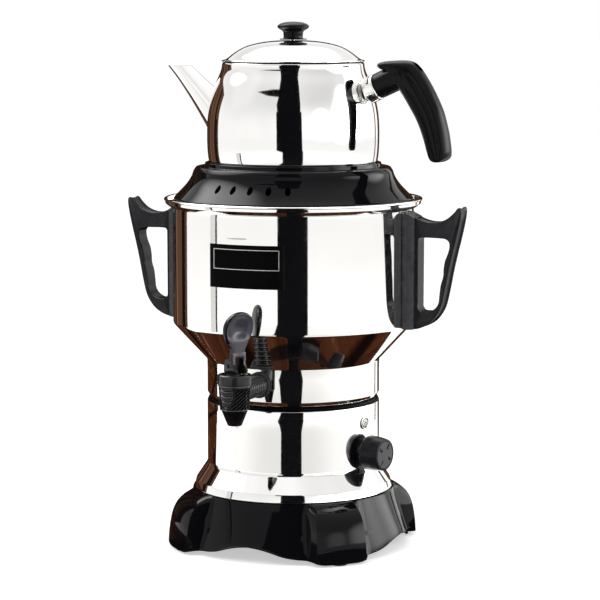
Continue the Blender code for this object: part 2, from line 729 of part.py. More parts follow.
def make_base_fittings():
    for i, angle in enumerate(FOOT_ANGLES):
        height = FOOT_HEIGHT + PAD_DEPTH - GAP
        turned_at(f"foot_pad_{i + 1}", bar_outline(PAD_RADIUS, 0, height),
                  polar(PAD_REACH, angle, 0), rubber)
    cover = turned("bottom_cover", bar_outline(COVER_RADIUS, COVER_HEIGHT, COVER_HEIGHT + COVER_SHEET),
                   black_satin)
    for i, angle in enumerate(FOOT_ANGLES):
        spot = polar(POST_REACH, angle, COVER_HEIGHT)
        cut(cover, drill(f"cover_hole_{i}", SCREW_RADIUS + GAP, spot, (0, 0, 1),
                         COVER_SHEET + OVERRUN))
        made = screw(f"cover_screw_{i + 1}", SCREW_HEAD, SCREW_HEAD_HEIGHT, SCREW_RADIUS,
                     COVER_SCREW_LENGTH - GAP, dull_steel)
        place(made, spot - Vector((0, 0, GAP)), (0, 0, -1))
    for i, angle in enumerate(CASING_SCREW_ANGLES):
        made = screw(f"casing_screw_{i + 1}", SCREW_HEAD, SCREW_HEAD_HEIGHT, SCREW_RADIUS,
                     CASING_SCREW_LENGTH, dull_steel)
        place(made, polar(CASING_SCREW_REACH, angle, BASE_TOP - BASE_WALL - GAP), (0, 0, -1))
    spot, direction = gland_place()
    outline = [
        (GLAND_FLANGE - GLAND_FLANGE_HEIGHT / 2, GAP + GLAND_FLANGE_HEIGHT),
        (GLAND_FLANGE, GAP + GLAND_FLANGE_HEIGHT / 2), (GLAND_FLANGE, GAP), (GLAND_BODY, GAP),
        (GLAND_BODY, -GLAND_LENGTH), (GLAND_BORE, -GLAND_LENGTH),
        (GLAND_BORE, GAP + GLAND_FLANGE_HEIGHT),
    ]
    place(turned("cord_gland", outline, black_satin, MID_STEPS), spot, direction)


def make_heater():
    points = []
    for side in (1, -1):
        foot = polar(HEATER_LOOP, math.pi + side * HEATER_GAP_ANGLE, 0)
        along = polar(1, math.pi + side * (HEATER_GAP_ANGLE + math.pi / 2), 0)
        leg = [foot + Vector((0, 0, HEATER_END)), foot + Vector((0, 0, HEATER_HEIGHT - HEATER_BEND))]
        for step in (1, 2):
            turn = step * math.pi / 6
            leg.append(foot + along * HEATER_BEND * (1 - math.cos(turn))
                       + Vector((0, 0, HEATER_HEIGHT - HEATER_BEND * (1 - math.sin(turn)))))
        points.append(leg)
    bend_angle = HEATER_BEND / HEATER_LOOP
    start = HEATER_GAP_ANGLE + bend_angle
    count = 22
    loop = [
        polar(HEATER_LOOP, math.pi + start + (math.tau - 2 * start) * k / count, HEATER_HEIGHT)
        for k in range(count + 1)
    ]
    path = points[0] + loop + points[1][::-1]
    swept("heater_element", path, [HEATER_TUBE] * len(path), dull_steel, 6)
    for i, leg in enumerate(heater_legs()):
        above = leg + Vector((0, 0, TANK_FLOOR + SHEET + GAP))
        turned_at(f"heater_gasket_{i + 1}", ring_outline(HEATER_TUBE + GAP, HEATER_GASKET_RADIUS, 0,
                                                         HEATER_GASKET_HEIGHT), above, silicone)
        below = leg + Vector((0, 0, TANK_FLOOR - GAP - HEATER_NUT_HEIGHT))
        hex_nut(f"heater_nut_{i + 1}", HEATER_NUT_RADIUS, HEATER_TUBE + GAP, HEATER_NUT_HEIGHT,
                brass, below)


def make_thermostat():
    face = polar(THERMOSTAT_FACE, KNOB_ANGLE, KNOB_HEIGHT)
    body = block("thermostat_body", (THERMOSTAT_SIDE, THERMOSTAT_SIDE, THERMOSTAT_DEPTH), cream)
    direction = outward(KNOB_ANGLE)
    place(body, face - direction * THERMOSTAT_DEPTH / 2, direction)
    bush_end = CASING_RADIUS + THERMOSTAT_NUT_HEIGHT
    bush = turned("bush", bar_outline(BUSH_RADIUS, -BUSH_RADIUS, bush_end - THERMOSTAT_FACE), None,
                  MID_STEPS)
    add(body, place(bush, face, direction))
    cut(body, drill("bush_bore", SHAFT_RADIUS + GAP, polar(SHAFT_BACK - GAP + OVERRUN, KNOB_ANGLE,
                                                           KNOB_HEIGHT), direction,
                    bush_end - SHAFT_BACK + OVERRUN))
    nut = turned("thermostat_nut", ring_outline(BUSH_RADIUS + GAP, THERMOSTAT_NUT_RADIUS, 0,
                                                THERMOSTAT_NUT_HEIGHT), dull_steel, MID_STEPS)
    place(nut, polar(CASING_RADIUS + GAP, KNOB_ANGLE, KNOB_HEIGHT), direction)

    shaft_length = KNOB_BACK + KNOB_BORE_DEPTH - GAP - SHAFT_BACK
    shaft = turned("thermostat_shaft", bar_outline(SHAFT_RADIUS, 0, shaft_length), brass,
                   SMALL_STEPS)
    place(shaft, polar(SHAFT_BACK, KNOB_ANGLE, KNOB_HEIGHT), direction)
    outline = [
        (0, KNOB_DEPTH), (KNOB_RADIUS - KNOB_TAPER * 2, KNOB_DEPTH),
        (KNOB_RADIUS - KNOB_TAPER, KNOB_DEPTH - KNOB_TAPER), (KNOB_RADIUS, KNOB_TAPER),
        (KNOB_RADIUS - KNOB_TAPER, 0), (SHAFT_RADIUS + GAP, 0), (SHAFT_RADIUS + GAP, KNOB_BORE_DEPTH),
        (0, KNOB_BORE_DEPTH),
    ]
    knob = turned("thermostat_knob", outline, grey_black, MID_STEPS)
    place(knob, polar(KNOB_BACK, KNOB_ANGLE, KNOB_HEIGHT), direction)

    bulb_height = TANK_FLOOR - GAP - BULB_RADIUS
    top = KNOB_HEIGHT + THERMOSTAT_SIDE / 2 + GAP
    aside = outward(KNOB_ANGLE - math.pi / 2) * THERMOSTAT_SIDE * 0.35
    leave = polar(THERMOSTAT_FACE - THERMOSTAT_DEPTH / 2, KNOB_ANGLE, top) + aside
    bulb_end = Vector((BULB_LENGTH / 2, BULB_SIDE, bulb_height))
    path = smooth_path([
        leave, leave + Vector((0, 0, BULB_RADIUS)), leave + Vector((-BULB_RADIUS, 0, BULB_RADIUS * 3)),
        bulb_end + Vector((BULB_RADIUS * 3, 0, -BULB_RADIUS)), bulb_end + Vector((BULB_RADIUS, 0, 0)),
    ])
    radii = [CAPILLARY_RADIUS] * len(path)
    path += [bulb_end, bulb_end - Vector((BULB_RADIUS / 2, 0, 0)), bulb_end - Vector((BULB_LENGTH, 0, 0))]
    radii += [CAPILLARY_RADIUS, BULB_RADIUS, BULB_RADIUS]
    swept("sensor_bulb", path, radii, brass)


def make_indicator():
    direction = outward(KNOB_ANGLE)
    seat = CASING_RADIUS + GAP
    outline = [
        (0, LENS_DOME), (LENS_RADIUS * 0.5, LENS_DOME * 0.88), (LENS_RADIUS * 0.85, LENS_DOME * 0.5),
        (LENS_RADIUS, LENS_DOME * 0.2), (LENS_RADIUS, 0), (LENS_BARREL, 0),
        (LENS_BARREL, -LENS_BARREL_LENGTH), (0, -LENS_BARREL_LENGTH),
    ]
    lens = turned("indicator_lens", outline, clear_lens, MID_STEPS)
    place(lens, polar(seat, KNOB_ANGLE, LENS_HEIGHT), direction)
    lamp = turned("indicator_lamp", bar_outline(LAMP_RADIUS, -LAMP_LENGTH, 0), cream,
                  SMALL_STEPS)
    place(lamp, polar(seat - LENS_BARREL_LENGTH - GAP, KNOB_ANGLE, LENS_HEIGHT), direction)


def make_wiring():
    base = COVER_HEIGHT + COVER_SHEET + GAP
    block_top = base + BLOCK_HEIGHT
    made = block("terminal_block", (BLOCK_WIDTH, BLOCK_DEPTH, BLOCK_HEIGHT), cream)
    place(made, (0, BLOCK_SIDE, base + BLOCK_HEIGHT / 2))
    start_height = block_top + GAP
    legs = heater_legs()
    free = Vector((0, 0, LEAD_RADIUS * 6))
    through = DECK_HOLE - LEAD_RADIUS * 4
    inward = -outward(KNOB_ANGLE)
    back = polar(THERMOSTAT_FACE - THERMOSTAT_DEPTH - GAP, KNOB_ANGLE, KNOB_HEIGHT)
    lamp_back = polar(CASING_RADIUS - LENS_BARREL_LENGTH - LAMP_LENGTH - GAP, KNOB_ANGLE, LENS_HEIGHT)
    terminal = legs[0] + Vector((0, 0, HEATER_END - GAP))
    routes = {
        "lead_heater": (-1, terminal, Vector((0, 0, -1)), wire_blue),
        "lead_thermostat": (1, back, inward, wire_red),
        "lead_lamp": (0, lamp_back, inward, wire_blue),
    }
    for name, (pole, end, leaving, mat) in routes.items():
        start = Vector((pole * BLOCK_POLE_PITCH, BLOCK_SIDE - BLOCK_DEPTH / 4, start_height))
        middle = Vector((pole * BLOCK_POLE_PITCH, through, BASE_TOP))
        rise = [start + free / 2, middle, middle + free * 2]
        fall = [end + leaving * LEAD_RADIUS * 8, end + leaving * LEAD_RADIUS * 3]
        path = [start, *smooth_path(rise + fall), end]
        swept(name, path, [LEAD_RADIUS] * len(path), mat, 6)


def handle_outline(shares):
    return shares_to_points(shares, (TANK_RADIUS, HANDLE_FOOT), (HANDLE_TIP_REACH, HANDLE_TOP))


def make_side_handles():
    outer = handle_outline(HANDLE_OUTER_SHARES)
    opening = handle_outline(HANDLE_OPENING_SHARES)
    half = HANDLE_WIDTH / 2
    for side, angle in HANDLE_ANGLES.items():
        sections = [
            [(a[0], -half, a[1]), (a[0], half, a[1]), (b[0], half, b[1]), (b[0], -half, b[1])]
            for a, b in zip(outer, opening)
        ]
        handle = lofted(f"side_handle_{side}", sections, black_satin, closed=True)
        rounded(stand_in_plane(handle, angle), HANDLE_ROUNDING, 1)
        cut(handle, swollen(f"wall_cutter_{side}", tank_outer()))
        for i, (_, height) in enumerate(handle_side(angle)):
            cut(handle, drill(f"handle_screw_hole_{side}_{i}", HANDLE_SCREW_RADIUS + GAP,
                              polar(TANK_RADIUS, angle, height), outward(angle),
                              HANDLE_SCREW_LENGTH))
    for i, (angle, height) in enumerate(HANDLE_SCREW_PLACES):
        made = screw(f"handle_screw_{i + 1}", HANDLE_SCREW_HEAD, SCREW_HEAD_HEIGHT,
                     HANDLE_SCREW_RADIUS, HANDLE_SCREW_LENGTH, dull_steel)
        seat = TANK_RADIUS - SHEET - GAP * 2
        place(made, polar(seat, angle, height), -outward(angle))


def make_label():
    inner = TANK_RADIUS + GAP
    half = LABEL_WIDTH / 2 / TANK_RADIUS
    middle = RIM_TOP - LABEL_DROP
    low = middle - LABEL_HEIGHT / 2
    high = middle + LABEL_HEIGHT / 2
    count = 10
    sections = []
    for k in range(count + 1):
        angle = half * (2 * k / count - 1)
        sections.append([polar(across, angle, up) for across, up in
                         ring_outline(inner, inner + LABEL_THICKNESS, low, high)])
    lofted("front_label", sections, black_satin)


def make_tap():
    spot = polar(TAP_REACH, 0, 0)
    back = outward(math.pi)
    body = turned("tap_body", [
        (TAP_RADIUS, TAP_TOP + GAP), (TAP_RADIUS, SHANK_HEIGHT), (TAP_WAIST_RADIUS, TAP_WAIST),
        (NOZZLE_TOP_RADIUS, TAP_WAIST), (NOZZLE_RADIUS + GAP * 2, NOZZLE_END + GAP * 4),
        (NOZZLE_RADIUS, NOZZLE_END), (0, NOZZLE_END), (0, TAP_TOP + GAP),
    ], black_satin, MID_STEPS)
    place(body, spot)
    shank = turned("shank", bar_outline(SHANK_RADIUS, 0, TAP_REACH - SHANK_END), None, MID_STEPS)
    add(body, place(shank, polar(TAP_REACH, 0, SHANK_HEIGHT), back))
    cut(body, turned_at("bonnet_room", bar_outline(BONNET_RADIUS + GAP, TAP_TOP, BONNET_TOP), spot,
                        steps=MID_STEPS))
    cut(body, turned_at("chamber", bar_outline(TAP_CHAMBER, TAP_SEAT, TAP_TOP + OVERRUN), spot,
                        steps=MID_STEPS))
    cut(body, turned_at("nozzle_bore", bar_outline(NOZZLE_BORE, NOZZLE_END - OVERRUN, TAP_TOP), spot))
    cut(body, place(turned("shank_bore", bar_outline(SHANK_BORE, 0, TAP_REACH - SHANK_END + OVERRUN),
                           None, SMALL_STEPS), polar(TAP_REACH, 0, SHANK_HEIGHT), back))

    gasket_end = NECK_RADIUS + GAP
    gasket = turned("tap_gasket", ring_outline(SHANK_RADIUS + GAP, TAP_GASKET_RADIUS, 0,
                                               TAP_GASKET_DEPTH), rubber, MID_STEPS)
    place(gasket, polar(gasket_end, 0, SHANK_HEIGHT), outward(0))
    nut_face = math.sqrt((NECK_RADIUS - SHEET) ** 2 - TAP_NUT_RADIUS ** 2) - GAP
    hex_nut("tap_nut", TAP_NUT_RADIUS, SHANK_RADIUS + GAP, TAP_NUT_DEPTH, black_satin,
            polar(nut_face, 0, SHANK_HEIGHT), back, MID_STEPS)

    inside = BONNET_RADIUS - BONNET_WALL
    bonnet = turned("tap_bonnet", [
        (STEM_RADIUS + GAP, BONNET_TOP), (BONNET_RADIUS - GAP * 2, BONNET_TOP),
        (BONNET_RADIUS, BONNET_TOP - GAP * 2), (BONNET_RADIUS, TAP_TOP + GAP),
        (inside, TAP_TOP + GAP), (inside, BONNET_TOP - BONNET_PLATE),
        (STEM_RADIUS + GAP, BONNET_TOP - BONNET_PLATE),
    ], black_satin, MID_STEPS)
    place(bonnet, spot)


def make_valve():
    spot = polar(TAP_REACH, 0, 0)
    cup_bottom = TAP_SEAT + GAP
    cup_top = cup_bottom + CUP_HEIGHT
    well = cup_bottom + CUP_HEIGHT / 3
    turned_at("seat_cup", [
        (CUP_RADIUS * 0.8, cup_top), (CUP_RADIUS, cup_bottom + CUP_HEIGHT / 2),
        (CUP_RADIUS, cup_bottom), (0, cup_bottom), (0, well), (STEM_RADIUS + GAP, well),
        (STEM_RADIUS + GAP, cup_top),
    ], spot, silicone, MID_STEPS)
    stem = turned("valve_stem", bar_outline(STEM_RADIUS, well + GAP, PIN_HEIGHT), dull_steel,
                  SMALL_STEPS)
    place(stem, spot)
    tab_low = BONNET_TOP + GAP
    tab_height = FORK_TOP - GAP - PIN_RADIUS * 2 - tab_low
    tab = block("stem_eye", (STEM_TAB * 2, STEM_TAB * 2, tab_height), None)
    add(stem, on_lever(place(tab, (0, 0, tab_low + tab_height / 2 - PIN_HEIGHT))))
    cut(stem, on_lever(drill("stem_pin_hole", PIN_RADIUS + GAP, (-FORK_WIDTH / 2, 0, 0), (1, 0, 0),
                             FORK_WIDTH + OVERRUN)))

    pin = turned("lever_pin", bar_outline(PIN_RADIUS, -FORK_WIDTH / 2, FORK_WIDTH / 2), dull_steel,
                 SMALL_STEPS)
    on_lever(place(pin, (0, 0, 0), (1, 0, 0)))


def heel_outline():
    """The heel under the pin, in (forward, up): its rise is even over the lever's travel."""
    rest = PIN_HEIGHT - BONNET_TOP - GAP
    count = 6
    points = [(-HEEL_BACK, -rest + HEEL_BACK / 4), (-HEEL_BACK * 0.75, -rest)]
    for k in range(count + 1):
        turn = LEVER_TRAVEL * 1.05 * k / count
        reach = rest + HEEL_LIFT * turn
        points.append((
            reach * math.sin(turn) + HEEL_LIFT * math.cos(turn),
            -reach * math.cos(turn) + HEEL_LIFT * math.sin(turn),
        ))
    top = FORK_TOP - PIN_HEIGHT
    points += [(LEVER_THICKNESS, top * 0.6), (LEVER_THICKNESS * 0.6, top + OVERRUN),
               (-LEVER_THICKNESS * 0.6, top + OVERRUN), (-HEEL_BACK, top * 0.5)]
    return points


def make_lever():
    lever = on_lever(prism("tap_lever", heel_outline(), FORK_WIDTH, grey_black))
    lever.rotation_euler = (0, 0, -math.pi / 2)
    width = PADDLE_WIDTH / 2
    low = FORK_TOP - PIN_HEIGHT - OVERRUN / 4
    high = PADDLE_TOP - PIN_HEIGHT
    half = [(width * across, low + (high - low) * up) for across, up in PADDLE_SHARES]
    half.insert(0, (LEVER_NECK / 2, low))
    outline = half + [(-across, up) for across, up in half[::-1]]
    paddle = prism("paddle", outline, LEVER_THICKNESS, None)
    rounded(paddle, LEVER_THICKNESS / 4)
    add(lever, on_lever(paddle))
    depth = LEVER_THICKNESS / 2
    dish_height = (high - low) * 0.36
    dish = turned("paddle_dish", [
        (math.sin(turn), math.cos(turn)) for turn in (math.pi * k / 10 for k in range(11))
    ], None, MID_STEPS)
    dish.scale = (width * 0.8, PADDLE_DISH * 2, dish_height)
    place(dish, (0, -depth - PADDLE_DISH, low + (high - low) * 0.6))
    cut(lever, on_lever(dish))
    slot_height = FORK_TOP - BONNET_TOP
    slot = block("fork_slot", (FORK_SLOT, (HEEL_BACK + HEEL_LIFT) * 4, slot_height * 2), None)
    cut(lever, on_lever(place(slot, (0, 0, FORK_TOP - slot_height - PIN_HEIGHT))))
    cut(lever, on_lever(drill("lever_pin_hole", PIN_RADIUS + GAP, (-FORK_WIDTH / 2, 0, 0), (1, 0, 0),
                              FORK_WIDTH + OVERRUN)))
    return lever


def make_collar():
    pot_side = radius_at(pot_outer(), COLLAR_LIP) + GAP * 2
    lip_out = pot_side + COLLAR_LIP_WALL
    curve = collar_curve()
    edge = rim_rest_radius(COLLAR_EDGE - COLLAR_WALL * 2)
    outer = [
        (pot_side, COLLAR_LIP), (lip_out - GAP * 2, COLLAR_LIP), (lip_out, COLLAR_LIP - GAP * 2),
        (lip_out, COLLAR_TOP), (COLLAR_TOP_RADIUS, COLLAR_TOP),
        *curve, (edge, COLLAR_EDGE - COLLAR_WALL * 1.3), (edge, COLLAR_EDGE - COLLAR_WALL * 2),
        (SPIGOT_RADIUS, COLLAR_EDGE - COLLAR_WALL * 3.6), (SPIGOT_RADIUS, SPIGOT_BOTTOM),
    ]
    inner = offset_path([(COLLAR_TOP_RADIUS, COLLAR_TOP)] + curve, -COLLAR_WALL)[::-2]
    inside = SPIGOT_RADIUS - COLLAR_WALL
    under_seat = COLLAR_SEAT - COLLAR_SEAT_SHEET
    inner = [point for point in inner if point[1] < under_seat and point[0] < inside]
    outline = outer + [
        (inside, SPIGOT_BOTTOM), (inside, COLLAR_EDGE - COLLAR_WALL * 2), *inner,
        (pot_side + COLLAR_WALL, under_seat), (COLLAR_HOLE, under_seat), (COLLAR_HOLE, COLLAR_SEAT),
        (pot_side, COLLAR_SEAT),
    ]
    collar = turned("steam_collar", outline, black_gloss)
    reach = radius_at(curve, VENT_HEIGHT)
    for k in range(VENT_COUNT):
        angle = (k - (VENT_COUNT - 1) / 2) * VENT_PITCH
        vent = turned(f"vent_{k}", bar_outline(VENT_WIDTH / 2, -COLLAR_WALL * 2, COLLAR_WALL * 2),
                      None, SMALL_STEPS)
        vent.matrix_local = (
            Matrix.Translation(polar(reach, angle, VENT_HEIGHT))
            @ Matrix.Rotation(angle, 4, "Z")
            @ Matrix.Rotation(math.pi / 2 - VENT_TILT, 4, "X")
            @ Matrix.Diagonal((1, VENT_LENGTH / VENT_WIDTH, 1, 1))
        )
        cut(collar, vent)
    return collar


def rim_rest_radius(height):
    """The flare's inner radius at a height, less the clearance that the collar keeps."""
    run = (RIM_RADIUS - FLARE_RADIUS) / (RIM_TOP - FLARE_HEIGHT)
    across_sheet = SHEET * math.hypot(1, run)
    return FLARE_RADIUS + (height - FLARE_HEIGHT) * run - across_sheet - GAP


def collar_curve():
    return shares_to_points(COLLAR_SHARES, (COLLAR_TOP_RADIUS, COLLAR_TOP),
                            (COLLAR_EDGE_RADIUS, COLLAR_EDGE))


def pot_outer():
    """The pot's outer side, from its rim down to the middle of its floor."""
    side = shares_to_points(POT_SHARES, (POT_NECK, POT_FLOOR), (POT_RADIUS, POT_RIM))
    return side + [(0, POT_FLOOR)]


def in_plane(angle, point):
    return polar(point[0], angle, point[1])


def make_pot():
    pot = turned("pot_body", sheet_outline(pot_outer(), SHEET), steel)
    direction = outward(SPOUT_ANGLE)
    for row in range(3):
        for column in range(3):
            angle = SPOUT_ANGLE + (column - 1) * STRAINER_PITCH / POT_RADIUS
            height = STRAINER_HEIGHT + (row - 1) * STRAINER_PITCH
            cut(pot, drill(f"strainer_{row}_{column}", STRAINER_HOLE,
                           polar(POT_RADIUS - SHEET - OVERRUN, angle, height), outward(angle),
                           SHEET + OVERRUN * 2, 8))

    root = in_plane(SPOUT_ANGLE, SPOUT_ROOT)
    tip = in_plane(SPOUT_ANGLE, SPOUT_TIP)
    axis = (tip - root).normalized()
    side = direction.cross(Vector((0, 0, 1))).normalized()
    up = side.cross(axis).normalized()
    beyond = OVERRUN * 2
    growth = (SPOUT_TIP_RADIUS - SPOUT_ROOT_RADIUS) / (tip - root).length

    def spout_cone(name, shrink, mat, extra):
        rings = []
        for end, run in ((root, -extra), (tip, beyond + extra)):
            start_radius = SPOUT_ROOT_RADIUS if end is root else SPOUT_TIP_RADIUS
            radius = start_radius + growth * run - shrink
            middle = end + axis * run
            rings.append([
                middle + (side * math.cos(t) + up * math.sin(t)) * radius
                for t in (math.tau * k / MID_STEPS for k in range(MID_STEPS))
            ])
        return lofted(name, rings, mat)

    spout = spout_cone("pot_spout", 0, steel, 0)
    cut(spout, spout_cone("spout_bore", SPOUT_SHEET, None, OVERRUN))
    cut(spout, swollen("spout_pot_cutter", pot_outer()))
    lid_room = POT_RADIUS * 4
    mouth = block("mouth_cutter", (lid_room, lid_room, OVERRUN * 6), None)
    cut(spout, place(mouth, in_plane(SPOUT_ANGLE, (SPOUT_TIP[0], SPOUT_MOUTH + OVERRUN * 3))))
    return pot


def make_pot_handle():
    angle = POT_HANDLE_ANGLE
    direction = outward(angle, SOCKET_RISE)
    start = in_plane(angle, SOCKET_START)
    outline = shares_to_points(GRIP_SHARES, (GRIP_START, GRIP_BOTTOM), (GRIP_REACH, GRIP_TOP))
    handle = prism("pot_handle", outline, GRIP_WIDTH, black_satin)
    rounded(stand_in_plane(handle, angle), GRIP_ROUNDING)
    socket = turned("socket", bar_outline(SOCKET_RADIUS, 0, SOCKET_LENGTH), None, MID_STEPS)
    add(handle, place(socket, start, direction))
    head_seat = BOLT_LENGTH - FERRULE_LENGTH
    cut(handle, drill("bolt_hole", BOLT_RADIUS + GAP, start, direction, head_seat + OVERRUN))
    well = turned("bolt_well", bar_outline(BOLT_WELL, head_seat, head_seat * 2), None, SMALL_STEPS)
    cut(handle, place(well, start, direction))

    ferrule_start = start - direction * (FERRULE_LENGTH + GAP)
    ferrule = turned("pot_ferrule", ring_outline(BOLT_RADIUS + GAP, FERRULE_RADIUS, 0,
                                                 FERRULE_LENGTH), steel, MID_STEPS)
    place(ferrule, ferrule_start, direction)

    ferrule_reach = SOCKET_START[0] - (FERRULE_LENGTH + GAP) * math.cos(SOCKET_RISE)
    bracket_length = (ferrule_reach - POT_NECK) / math.cos(SOCKET_RISE)
    bracket = block("pot_bracket", (BRACKET_WIDTH, BRACKET_HEIGHT, bracket_length), steel)
    place(bracket, ferrule_start - direction * (bracket_length / 2 + GAP), direction)
    rounded(bracket, GRIP_ROUNDING / 4)
    cut(bracket, swollen("bracket_pot_cutter", pot_outer()))
    cut(bracket, drill("bracket_hole", BOLT_RADIUS + GAP,
                       ferrule_start - direction * (OVERRUN + GAP), direction, OVERRUN * 2))
    return handle


def make_handle_bolt():
    direction = outward(POT_HANDLE_ANGLE, SOCKET_RISE)
    start = in_plane(POT_HANDLE_ANGLE, SOCKET_START)
    seat = start + direction * (BOLT_LENGTH - FERRULE_LENGTH + GAP)
    bolt = screw("pot_handle_bolt", BOLT_HEAD, BOLT_HEAD_HEIGHT, BOLT_RADIUS,
                 BOLT_LENGTH + OVERRUN / 2, dull_steel)
    place(bolt, seat, direction)


def make_lid():
    dome = shares_to_points(LID_SHARES, (0, LID_TOP), (LID_RADIUS, LID_EDGE))
    dome = [(LID_HOLE, LID_TOP)] + dome
    under = [point for point in offset_path(dome, -SHEET) if point[0] < LID_RING_RADIUS - SHEET]
    seat = POT_RIM + GAP
    outline = dome + [
        (LID_RADIUS, LID_EDGE), (LID_RADIUS, seat), (LID_RING_RADIUS, seat),
        (LID_RING_RADIUS, LID_RING_BOTTOM), (LID_RING_RADIUS - SHEET, LID_RING_BOTTOM),
        (LID_RING_RADIUS - SHEET, seat + SHEET / 2), *under[:0:-2], (LID_HOLE, LID_TOP - SHEET),
    ]
    turned("pot_lid", outline, steel)
    knob_base = LID_TOP + GAP
    shaft = SCREW_RADIUS + GAP
    socket = knob_base + (LID_KNOB_TOP - knob_base) * 0.6
    side = shares_to_points(LID_KNOB_SHARES, (0, knob_base), (LID_KNOB_RADIUS, LID_KNOB_TOP))
    turned("lid_knob", [(0, LID_KNOB_TOP), *side, (shaft, knob_base), (shaft, socket), (0, socket)],
           black_satin, MID_STEPS)
    made = screw("lid_knob_screw", SCREW_HEAD, SCREW_HEAD_HEIGHT, SCREW_RADIUS,
                 socket - LID_TOP + SHEET, dull_steel)
    place(made, (0, 0, LID_TOP - SHEET - GAP), (0, 0, -1))


def main():
    make_tank()
    make_studs_and_nuts()
    make_casing()
    make_base()
    make_base_fittings()
    make_heater()
    make_thermostat()
    make_indicator()
    make_wiring()
    make_side_handles()
    make_label()
    make_tap()
    make_valve()
    make_lever()
    make_collar()
    make_pot()
    make_pot_handle()
    make_handle_bolt()
    make_lid()


main()
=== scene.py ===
# The looks of an electric samovar: polished steel, moulded black plastic and a small lever tap.
# Profiles are in millimetres, as (out from the axis, up). Angles are in degrees from the tap,
# positive towards the thermostat knob.
import math

import bmesh
import bpy
from mathutils import Matrix, Vector


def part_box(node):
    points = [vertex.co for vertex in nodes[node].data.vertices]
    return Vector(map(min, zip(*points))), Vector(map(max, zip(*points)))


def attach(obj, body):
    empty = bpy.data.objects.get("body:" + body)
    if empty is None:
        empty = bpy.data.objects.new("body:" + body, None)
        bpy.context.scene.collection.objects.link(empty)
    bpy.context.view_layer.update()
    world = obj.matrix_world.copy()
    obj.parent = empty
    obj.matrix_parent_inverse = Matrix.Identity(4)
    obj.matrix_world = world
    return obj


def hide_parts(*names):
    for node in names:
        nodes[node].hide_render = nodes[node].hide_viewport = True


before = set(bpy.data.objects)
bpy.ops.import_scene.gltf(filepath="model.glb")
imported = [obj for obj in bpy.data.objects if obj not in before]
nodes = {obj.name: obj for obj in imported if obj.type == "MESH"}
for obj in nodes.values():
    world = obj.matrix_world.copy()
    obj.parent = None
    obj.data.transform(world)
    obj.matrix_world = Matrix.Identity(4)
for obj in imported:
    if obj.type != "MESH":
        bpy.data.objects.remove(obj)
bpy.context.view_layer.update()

mm = 0.001


def middleY(node):
    low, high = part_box(node)
    return (low.y + high.y) / 2


axisY = middleY("boiler_tank")       # the samovar's own axis stands here, at x = 0
print("frame loaded,", len(nodes), "nodes")


# Places and lines

def heading(angle, rise=0.0):        # a direction round the samovar, and its climb
    turn, climb = math.radians(angle), math.radians(rise)
    return Vector((math.sin(turn) * math.cos(climb), -math.cos(turn) * math.cos(climb), math.sin(climb)))


def spot(reach, angle, height):      # a place round the samovar, in metres
    return heading(angle) * reach * mm + Vector((0, axisY, height * mm))


def drawn(points, per=6):            # a smooth line through the points
    path = [Vector(point) for point in points]
    ends = [path[0] * 2 - path[1]] + path + [path[-1] * 2 - path[-2]]
    made = []
    for a, b, c, d in zip(ends, ends[1:], ends[2:], ends[3:]):
        for k in range(per):
            t = k / per
            made.append((b * 2 + (c - a) * t + (a * 2 - b * 5 + c * 4 - d) * t ** 2
                         + (b * 3 - a - c * 3 + d) * t ** 3) / 2)
    return made + [path[-1]]


def eased(points, per=6):            # a still smoother line that keeps close to the points
    path = [Vector(point) for point in points]
    ends = [path[0] * 2 - path[1]] + path + [path[-1] * 2 - path[-2]]
    made = []
    for a, b, c, d in zip(ends, ends[1:], ends[2:], ends[3:]):
        for k in range(per):
            t = k / per
            made.append((a * (1 - t) ** 3 + b * (3 * t ** 3 - 6 * t ** 2 + 4)
                         + c * (1 + 3 * t + 3 * t ** 2 - 3 * t ** 3) + d * t ** 3) / 6)
    return made + [path[-1]]


def cornered(points, arcSteps=5):    # straight runs; a third number is the corner's radius
    made = []
    for i, point in enumerate(points):
        here = Vector(point[:2])
        if len(point) < 3 or i in (0, len(points) - 1):
            made.append(here)
            continue
        before = Vector(points[i - 1][:2]) - here
        after = Vector(points[i + 1][:2]) - here
        half = before.angle(after) / 2
        reach = min(point[2] / math.tan(half), before.length * 0.49, after.length * 0.49)
        start = here + before.normalized() * reach
        end = here + after.normalized() * reach
        middle = before.normalized() + after.normalized()
        centre = here + middle.normalized() * (reach / math.cos(half))
        for k in range(arcSteps + 1):
            arm = (start - centre).lerp(end - centre, k / arcSteps)
            made.append(centre + arm.normalized() * (start - centre).length)
    return made


def moved(points, distance):         # the line moved to its outer side
    made = []
    for i, point in enumerate(points):
        run = points[min(i + 1, len(points) - 1)] - points[max(i - 1, 0)]
        made.append(point + Vector((-run.y, run.x)).normalized() * distance)
    return [Vector((max(point.x, 0), point.y)) for point in made]


def sheetOf(points, thick):          # sheet metal: the line, its inner side, and round edges
    inner = moved(points, -thick)
    outline = list(points)
    for near, far in ((points[-1], inner[-1]), (inner[0], points[0])):
        if (near - far).length > thick / 4:
            middle = (near + far) / 2
            side = near - middle
            turn = Vector((-side.y, side.x)) * (1 if near is points[-1] else 1)
            outline += [middle + side * 0.7 - turn * 0.7, middle - turn, middle - side * 0.7 - turn * 0.7]
        if near is points[-1]:
            outline += inner[::-1]
    return outline


# Meshes

def newPiece(name, bm, sharp=38):
    bmesh.ops.remove_doubles(bm, verts=bm.verts, dist=1e-6)
    bmesh.ops.dissolve_degenerate(bm, edges=bm.edges, dist=1e-6)
    bmesh.ops.recalc_face_normals(bm, faces=bm.faces)
    mesh = bpy.data.meshes.new(name)
    bm.to_mesh(mesh)
    bm.free()
    mesh.shade_smooth()
    mesh.set_sharp_from_angle(angle=math.radians(sharp))
    obj = bpy.data.objects.new(name, mesh)
    bpy.context.scene.collection.objects.link(obj)
    return obj


